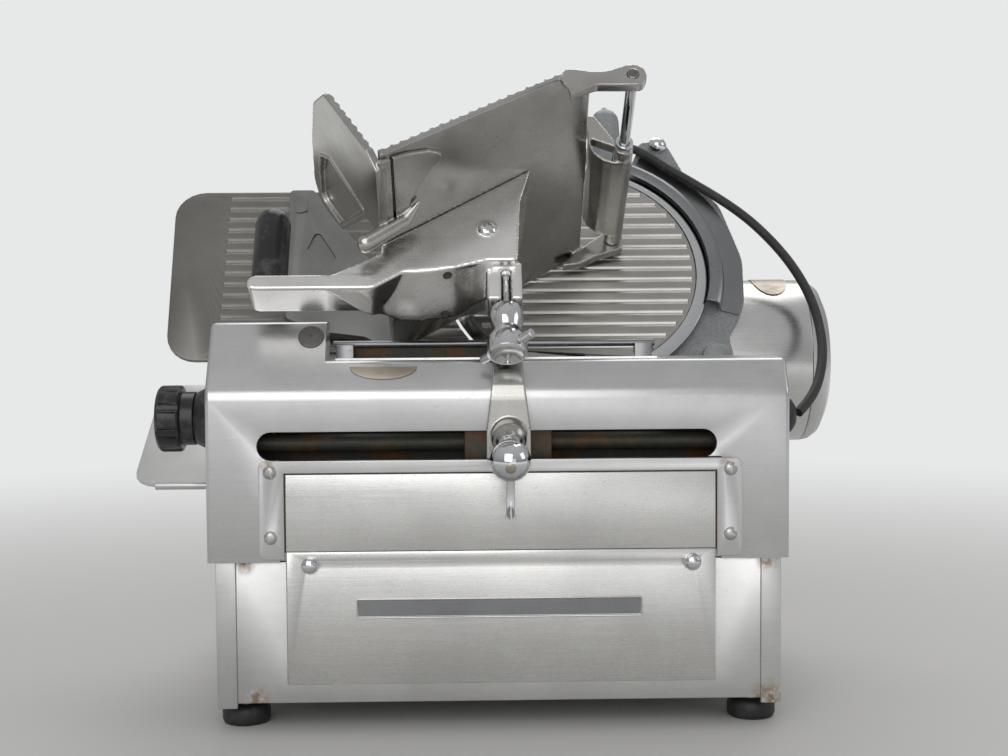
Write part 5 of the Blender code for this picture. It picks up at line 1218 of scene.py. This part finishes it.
@dataclass
class IndexGroup(Assembly):
    """The index knob, its collar, the gauge plate and the slice tray."""

    def build(self) -> None:
        """Make the index group's pieces."""
        self.soften("index_knob", 0.0009, Body.INDEX, Finish.BLACK)
        self.soften("index_collar", 0.0007, Body.FRAME, Finish.BLACK)
        self.keep("index_shaft", Finish.ZINC)
        self.soften("gauge_plate", 0.0004, Body.GAUGE, Finish.GAUGE, 2)
        self.soften("gauge_support", 0.0010, Body.GAUGE, Finish.IRON)
        self.keep("gauge_bush", Finish.BRONZE)
        self.soften("slice_tray", 0.0005, Body.TRAY, Finish.TRAY)
        self.soften("upper_rail", 0.0004, Body.FRAME, Finish.RING)
        # A dark sheet under the rail, painted shade for the shaded inside that shows there.
        shade_sheet = self.sketch(rounded([(-0.1490, 0.3070, 0.002), (0.0, 0.3070, 0.002), (0.0, 0.3400, 0.001),
                                     (-0.1490, 0.3400, 0.001)]), 0.0995, 0.1010, BENCH)
        self.bevel(shade_sheet, 0.0004, 2)
        self.place(shade_sheet, "rail_shade_sheet", Body.FRAME, Finish.GRIME)


@dataclass
class KnifeHead(Assembly):
    """The knife, its fluted cover, the ring guard, the housing and what stands behind them."""

    def build(self) -> None:
        """Make the knife head's pieces."""
        self.soften("knife", 0.0002, Body.KNIFE, Finish.KNIFE, 2)
        self.soften("knife_cover", 0.0003, Body.FRAME, Finish.FLUTED, 2)
        self.soften("ring_guard", 0.0003, Body.FRAME, Finish.RING, 2)
        self.cast("knife_housing", 0.0013, Body.FRAME, Finish.CASTING, 4)
        self.cast("gear_case", 0.0022, Body.FRAME, Finish.CASTING, 4)
        self.soften("acorn_nut", 0.0002, Body.FRAME, Finish.CHROME)
        self.soften("switch_post", 0.0006, Body.FRAME, Finish.CASTING)
        self.soften("switch_toggle", 0.0002, Body.TOGGLE, Finish.CHROME)
        self.soften("sharpener_body", 0.0012, Body.FRAME, Finish.IRON)
        self.soften("sharpener_stone", 0.0004, Body.STONE, Finish.STONE)
        self.keep("knife_shaft knife_bearing", Finish.ZINC)
        self.keep("worm_wheel", Finish.BRONZE)


@dataclass
class Motor(Assembly):
    """The motor drum and its cap."""

    axis: tuple[float, float] = (0.255, 0.317)
    radius: float = 0.084
    plate_x: float = 0.285
    plate_half: float = 0.018
    plate_drop: float = 0.017

    def build(self) -> None:
        """Make the motor's pieces."""
        self.soften("motor_drum", 0.0008, Body.FRAME, Finish.DRUM)
        self.soften("motor_cap", 0.0006, Body.FRAME, Finish.CAP)
        self.keep("motor_rotor", Finish.ZINC)
        self.plate()

    def plate(self) -> None:
        """The bare brown plate that lies on the top of the drum, like half an oval."""
        outline = [(self.plate_x + self.plate_half * math.cos(a), 0.4035 + self.plate_drop * math.sin(a))
                   for a in [math.pi + math.pi * step / 16 for step in range(17)]]
        plate = self.sketch(outline, 0.155, 0.256, BENCH)
        start = Vector((self.plate_x - 0.03, self.axis[0], self.axis[1]))
        shell = self.spun([(self.radius + 0.0002, 0.0), (self.radius + 0.0009, 0.0),
                           (self.radius + 0.0009, 0.06), (self.radius + 0.0002, 0.06)],
                          start, start + Vector((1.0, 0.0, 0.0)), BENCH, 96)
        self.carve(plate, [shell], "INTERSECT")
        self.smooth(plate)
        self.place(plate, "drum_plate", Body.FRAME, Finish.BRASS)


@dataclass
class Carriage(Assembly):
    """The slide block, the arm over the cover, the ball knob and the clamp nut."""

    def build(self) -> None:
        """Make the carriage's pieces."""
        # the slide block gets the near-black finish, which paints the shade of the slot into it
        self.soften("slide_block", 0.0008, Body.CARRIAGE, Finish.GRIME)
        self.cast("carriage_arm", 0.0008, Body.CARRIAGE, Finish.CHUTE, 5)
        self.soften("ball_knob", 0.0003, Body.LEVER, Finish.CHROME)
        slope = math.radians(16.0)
        out = Vector((0.0, -math.cos(slope), -math.sin(slope)))
        middle = Vector((0.009, -0.0133, 0.2655)) + out * 0.058
        cap = self.ring(middle + out * 0.0166, out, 0.0050, [
            (0.0, 0.0012), (0.5, 0.0011), (0.8, 0.0007), (1.0, 0.0), (1.0, -0.002)], BENCH)
        self.place(cap, "ball_cap", Body.LEVER, Finish.BRASS)
        self.soften("clamp_nut", 0.0004, Body.CLAMP, Finish.CHROME)


@dataclass
class Chute(Assembly):
    """The chute's floor, side, end frame and bracket, its grip and the pusher."""

    near: float = 0.240
    drop: float = 0.20
    corner: tuple[float, float] = (-0.184, -0.0482)
    side_angle: float = math.radians(58.0)
    side_thick: float = 0.007
    flute_pitch: float = 0.0098

    def build(self) -> None:
        """Make the chute's pieces."""
        self.cast("chute_floor", 0.0010, Body.CHUTE, Finish.CHUTE, 6, 0.3)
        self.side()
        self.end()
        self.bracket()
        self.soften("grip", 0.0006, Body.CHUTE, Finish.BLACK)
        self.soften("pusher_rod", 0.0004, Body.CHUTE, Finish.CHROME)
        self.soften("pusher_ring", 0.0004, Body.STOP, Finish.CHROME)
        self.cast("pusher_sleeve", 0.0009, Body.PUSHER, Finish.CHUTE, 30)
        eye = self.ring(at(0.036, 0.2588, 0.0265), at(0.0, 1.0, 0.0), 0.0046, [
            (0.0, 0.0004), (0.8, 0.0005), (1.0, 0.0002), (1.0, -0.0008)], KNIFE)
        self.place(eye, "eye_screw", Body.CHUTE, Finish.IRON)

    def side_place(self) -> Matrix:
        """Find the side's frame, with x up the side, y towards the knife and z square into the chute.

        Returns:
            The frame.
        """
        turn = self.side_angle
        place = Matrix(((-math.cos(turn), 0.0, math.sin(turn)), (0.0, 1.0, 0.0),
                        (math.sin(turn), -self.drop, math.cos(turn)))).to_4x4()
        start = Vector((self.corner[0] - self.side_thick - 0.0025, -self.near, self.corner[1]))
        return KNIFE @ Matrix.Translation(start) @ place

    def side(self) -> None:
        """The side with flutes on its inner face."""
        obj = self.copy_of("chute_side")
        wave = [(0.13, self.side_thick + 0.01), (-0.02, self.side_thick + 0.01)]
        for step in range(90):
            along = -0.002 + 0.0013 * step
            deep = 0.0006 + 0.0008 * math.cos(math.tau * (along - 0.003) / self.flute_pitch)
            wave.append((along, self.side_thick - deep))
        self.carve(obj, [self.sketch(wave, -0.03, 0.17, self.side_place())])
        flat = self.side_place() @ Matrix(((1.0, 0.0, 0.0), (0.0, 0.0, 1.0), (0.0, 1.0, 0.0))).to_4x4()
        rim = self.sketch(rounded([
            (0.0080, 0.0690, 0.003), (0.0720, 0.0615, 0.008), (0.0900, 0.0720, 0.008),
            (0.0965, 0.0950, 0.012), (0.0980, 0.1290, 0.008), (0.0605, 0.1325, 0.004),
        ]), -0.0013, 0.0010, flat)
        inner = self.sketch(rounded([
            (0.0140, 0.0710, 0.003), (0.0712, 0.0640, 0.006), (0.0882, 0.0740, 0.006),
            (0.0937, 0.0950, 0.010), (0.0952, 0.1280, 0.008), (0.0612, 0.1290, 0.004),
        ]), -0.0100, 0.0038, flat)
        fold = self.bar(at(-0.1797, 0.2380, -0.0574), at(-0.1797, 0.1660, -0.0718), 0.0021, KNIFE)
        self.carve(obj, [rim, fold], "UNION")
        self.carve(obj, [inner])
        self.melt(obj, 0.0008, 4, 0.5)
        self.smooth(obj, 60.0)
        self.place(obj, "chute_side_finished", Body.CHUTE, Finish.CHUTE, "chute_side")

    def end(self) -> None:
        """The end frame with its oblong boss, its diamond recess and its hole."""
        obj = self.copy_of("end_frame")
        face = 0.014
        boss = self.sketch(rounded([
            (-0.2820, 0.0600, 0.0035), (-0.2700, 0.0640, 0.0035), (-0.2730, 0.0850, 0.0035),
            (-0.2850, 0.0820, 0.0035)]), -face - 0.0022, -face + 0.001, KNIFE)
        self.carve(obj, [boss], "UNION")
        recess = self.sketch(rounded([
            (-0.2690, 0.0180, 0.003), (-0.2600, 0.0420, 0.004), (-0.2390, 0.0060, 0.004),
            (-0.2480, -0.0110, 0.003)]), -face - 0.001, -face + 0.0030, KNIFE)
        hole = self.bar(at(-0.2457, 0.020, -0.0200), at(-0.2457, 0.008, -0.0200), 0.0026, KNIFE)
        self.carve(obj, [recess, hole])
        self.bevel(obj, 0.0010, 3, 32.0)
        self.smooth(obj)
        self.place(obj, "end_frame_finished", Body.CHUTE, Finish.END, "end_frame")

    def bracket(self) -> None:
        """The bracket with the sloping face under it, its two holes and its bolt."""
        obj = self.copy_of("chute_bracket")
        slope = Matrix(((1.0, 0.0, 0.0), (0.0, 1.0, 0.0), (0.0, -0.276, 1.0))).to_4x4()
        web = self.sketch(rounded([
            (-0.2340, -0.1217, 0.0), (-0.2060, -0.1205, 0.008), (-0.1950, -0.1170, 0.008),
            (-0.1840, -0.1075, 0.010), (-0.1720, -0.1045, 0.020), (-0.1550, -0.1053, 0.020),
            (-0.1370, -0.1035, 0.020),
            (-0.1200, -0.1003, 0.020), (-0.1030, -0.0945, 0.010), (-0.0880, -0.0925, 0.0),
            (-0.0880, -0.0800, 0.0), (-0.1780, -0.0800, 0.010), (-0.2340, -0.1100, 0.0)]), 0.0, 0.060,
            KNIFE @ Matrix.Translation(Vector((0.0, -0.1496, 0.0))) @ slope)
        plan = self.sketch(rounded([
            (-0.2340, -0.1600, 0.0), (-0.0880, -0.1600, 0.0), (-0.0880, -0.1060, 0.0),
            (-0.1160, -0.0925, 0.012), (-0.1720, -0.0925, 0.012), (-0.2340, -0.1480, 0.0)]), -0.20, 0.0,
            KNIFE @ Matrix(((1.0, 0.0, 0.0), (0.0, 0.0, 1.0), (0.0, 1.0, 0.0))).to_4x4())
        self.carve(web, [plan], "INTERSECT")
        self.carve(obj, [web], "UNION")
        self.melt(obj, 0.0010, 22)
        out = at(0.0, 0.266, -0.964)
        holes = []
        for x, n, u in ((-0.1263, 0.1420, -0.1045), (-0.1296, 0.0985, -0.1160)):
            middle = at(x, n, u)
            holes.append(self.bar(middle - out * 0.009, middle + out * 0.008, 0.0042, KNIFE))
            # A dark disc a little way into each hole, painted shade for the hole's depth.
            stop = self.ring(middle - out * 0.0035, out, 0.0046, [
                (0.0, 0.0), (0.8, 0.0), (1.0, -0.0003), (1.0, -0.0030)], KNIFE)
            self.place(stop, f"bracket_hole_shade_{len(holes)}", Body.CHUTE, Finish.GRIME)
        self.carve(obj, holes)
        self.finish_with(obj, "DECIMATE", ratio=0.7)
        self.smooth(obj, 50.0)
        # The bright finish paints the reflection on the bracket's face.
        self.place(obj, "chute_bracket_finished", Body.CHUTE, Finish.BRACKET, "chute_bracket")
        head = self.screw_head(at(-0.091, 0.1500, -0.059), at(0.0, 1.0, 0.0), 0.0083, 0.9, KNIFE, 0.0042)
        self.place(head, "bracket_bolt", Body.CHUTE, Finish.CHROME)


@dataclass
class Studio:
    """The camera at the photograph's place, the pale floor and the soft light."""

    eye: Triple = (-0.0202, -1.3329, 0.3922)
    pitch: float = math.radians(3.3)
    yaw: float = math.radians(1.1)
    roll: float = math.radians(-0.40)
    lens: float = 54.07

    def build(self) -> None:
        """Set the camera, the floor, the world and the lamps."""
        self.camera()
        self.floor()
        self.world()
        self.lamp("front", (-0.7, -3.1, 1.7), (0.0, 0.0, 0.35), 2.6, 38.0)
        self.lamp("top", (0.2, 1.25, 2.2), (0.0, 0.0, 0.3), 2.0, 20.0)
        self.lamp("side", (2.4, -0.6, 1.3), (0.0, 0.0, 0.3), 1.2, 5.0)
        self.lamp("low", (0.5, -2.4, 0.25), (0.0, 0.0, 0.3), 1.4, 3.0)
        bpy.context.scene.view_settings.view_transform = "Standard"

    def camera(self) -> None:
        """Place the camera."""
        level = Vector((math.cos(self.yaw), -math.sin(self.yaw), 0.0))
        run = math.cos(self.pitch)
        ahead = Vector((math.sin(self.yaw) * run, math.cos(self.yaw) * run, -math.sin(self.pitch)))
        up = level.cross(ahead)
        right = level * math.cos(self.roll) + up * math.sin(self.roll)
        above = up * math.cos(self.roll) - level * math.sin(self.roll)
        data = bpy.data.cameras.new("photo_camera")
        data.sensor_width = 36.0
        data.lens = self.lens
        data.clip_end = 60.0
        obj = bpy.data.objects.new("photo_camera", data)
        bpy.context.scene.collection.objects.link(obj)
        basis = Matrix((right, above, -ahead)).transposed().to_4x4()
        obj.matrix_world = BENCH @ Matrix.Translation(Vector(self.eye)) @ basis
        bpy.context.scene.camera = obj

    def floor(self) -> None:
        """Lay the floor."""
        bpy.ops.mesh.primitive_plane_add(size=16.0, location=(0.0, 0.0, -0.0002))
        obj = bpy.context.object
        obj.name = "studio_floor"
        obj.data.materials.append(PaleGround().make())

    def world(self) -> None:
        """Light the surroundings, brighter above than at eye level."""
        world = bpy.data.worlds.new("soft_surroundings")
        bpy.context.scene.world = world
        world.use_nodes = True
        tree = Tree(world.node_tree)
        way = tree.node("ShaderNodeTexCoord", {}, {}, output="Generated")
        height = tree.node("ShaderNodeSeparateXYZ", {}, {0: way}, output="Z")
        stops = ((0.0, 0.14), (0.46, 0.16), (0.54, 0.30), (0.70, 0.42), (1.0, 0.52))
        greys = [(place, (value, value, value * 1.01)) for place, value in stops]
        sky = tree.node("ShaderNodeValToRGB", {"stops": greys}, {0: height * 0.5 + 0.5})
        seen = tree.node("ShaderNodeLightPath", {}, {}, output="Is Camera Ray")
        values = {0: seen, 6: sky, 7: PaleGround.backdrop}
        pale = tree.node("ShaderNodeMix", {"data_type": "RGBA"}, values, output=2)
        tree.feed(world.node_tree.nodes["Background"].inputs["Color"], pale)

    def lamp(self, name: str, place: Triple, target: Triple, size: float, power: float) -> None:
        """Hang a soft lamp.

        Args:
            name: its name.
            place: where it is.
            target: where it points.
            size: the side of its square.
            power: its power in watts.
        """
        data = bpy.data.lights.new(name, "AREA")
        data.size = size
        data.energy = power
        obj = bpy.data.objects.new(name, data)
        bpy.context.scene.collection.objects.link(obj)
        obj.visible_camera = False
        obj.location = place
        obj.rotation_euler = (Vector(target) - Vector(place)).to_track_quat("-Z", "Y").to_euler()


def main() -> None:
    """Build every group in turn."""
    logging.basicConfig(level=logging.INFO, format="%(name)s: %(message)s")
    Studio().build()
    groups: list[Assembly] = [Lead(), Casing(), IndexGroup(), KnifeHead(), Motor(), Carriage(), Chute()]
    for group in groups:
        group.build()
        for piece in group.made:
            LOG.info("%s: %s, %d faces", type(group).__name__, piece.name, len(piece.data.polygons))


if __name__ == "__main__":
    main()
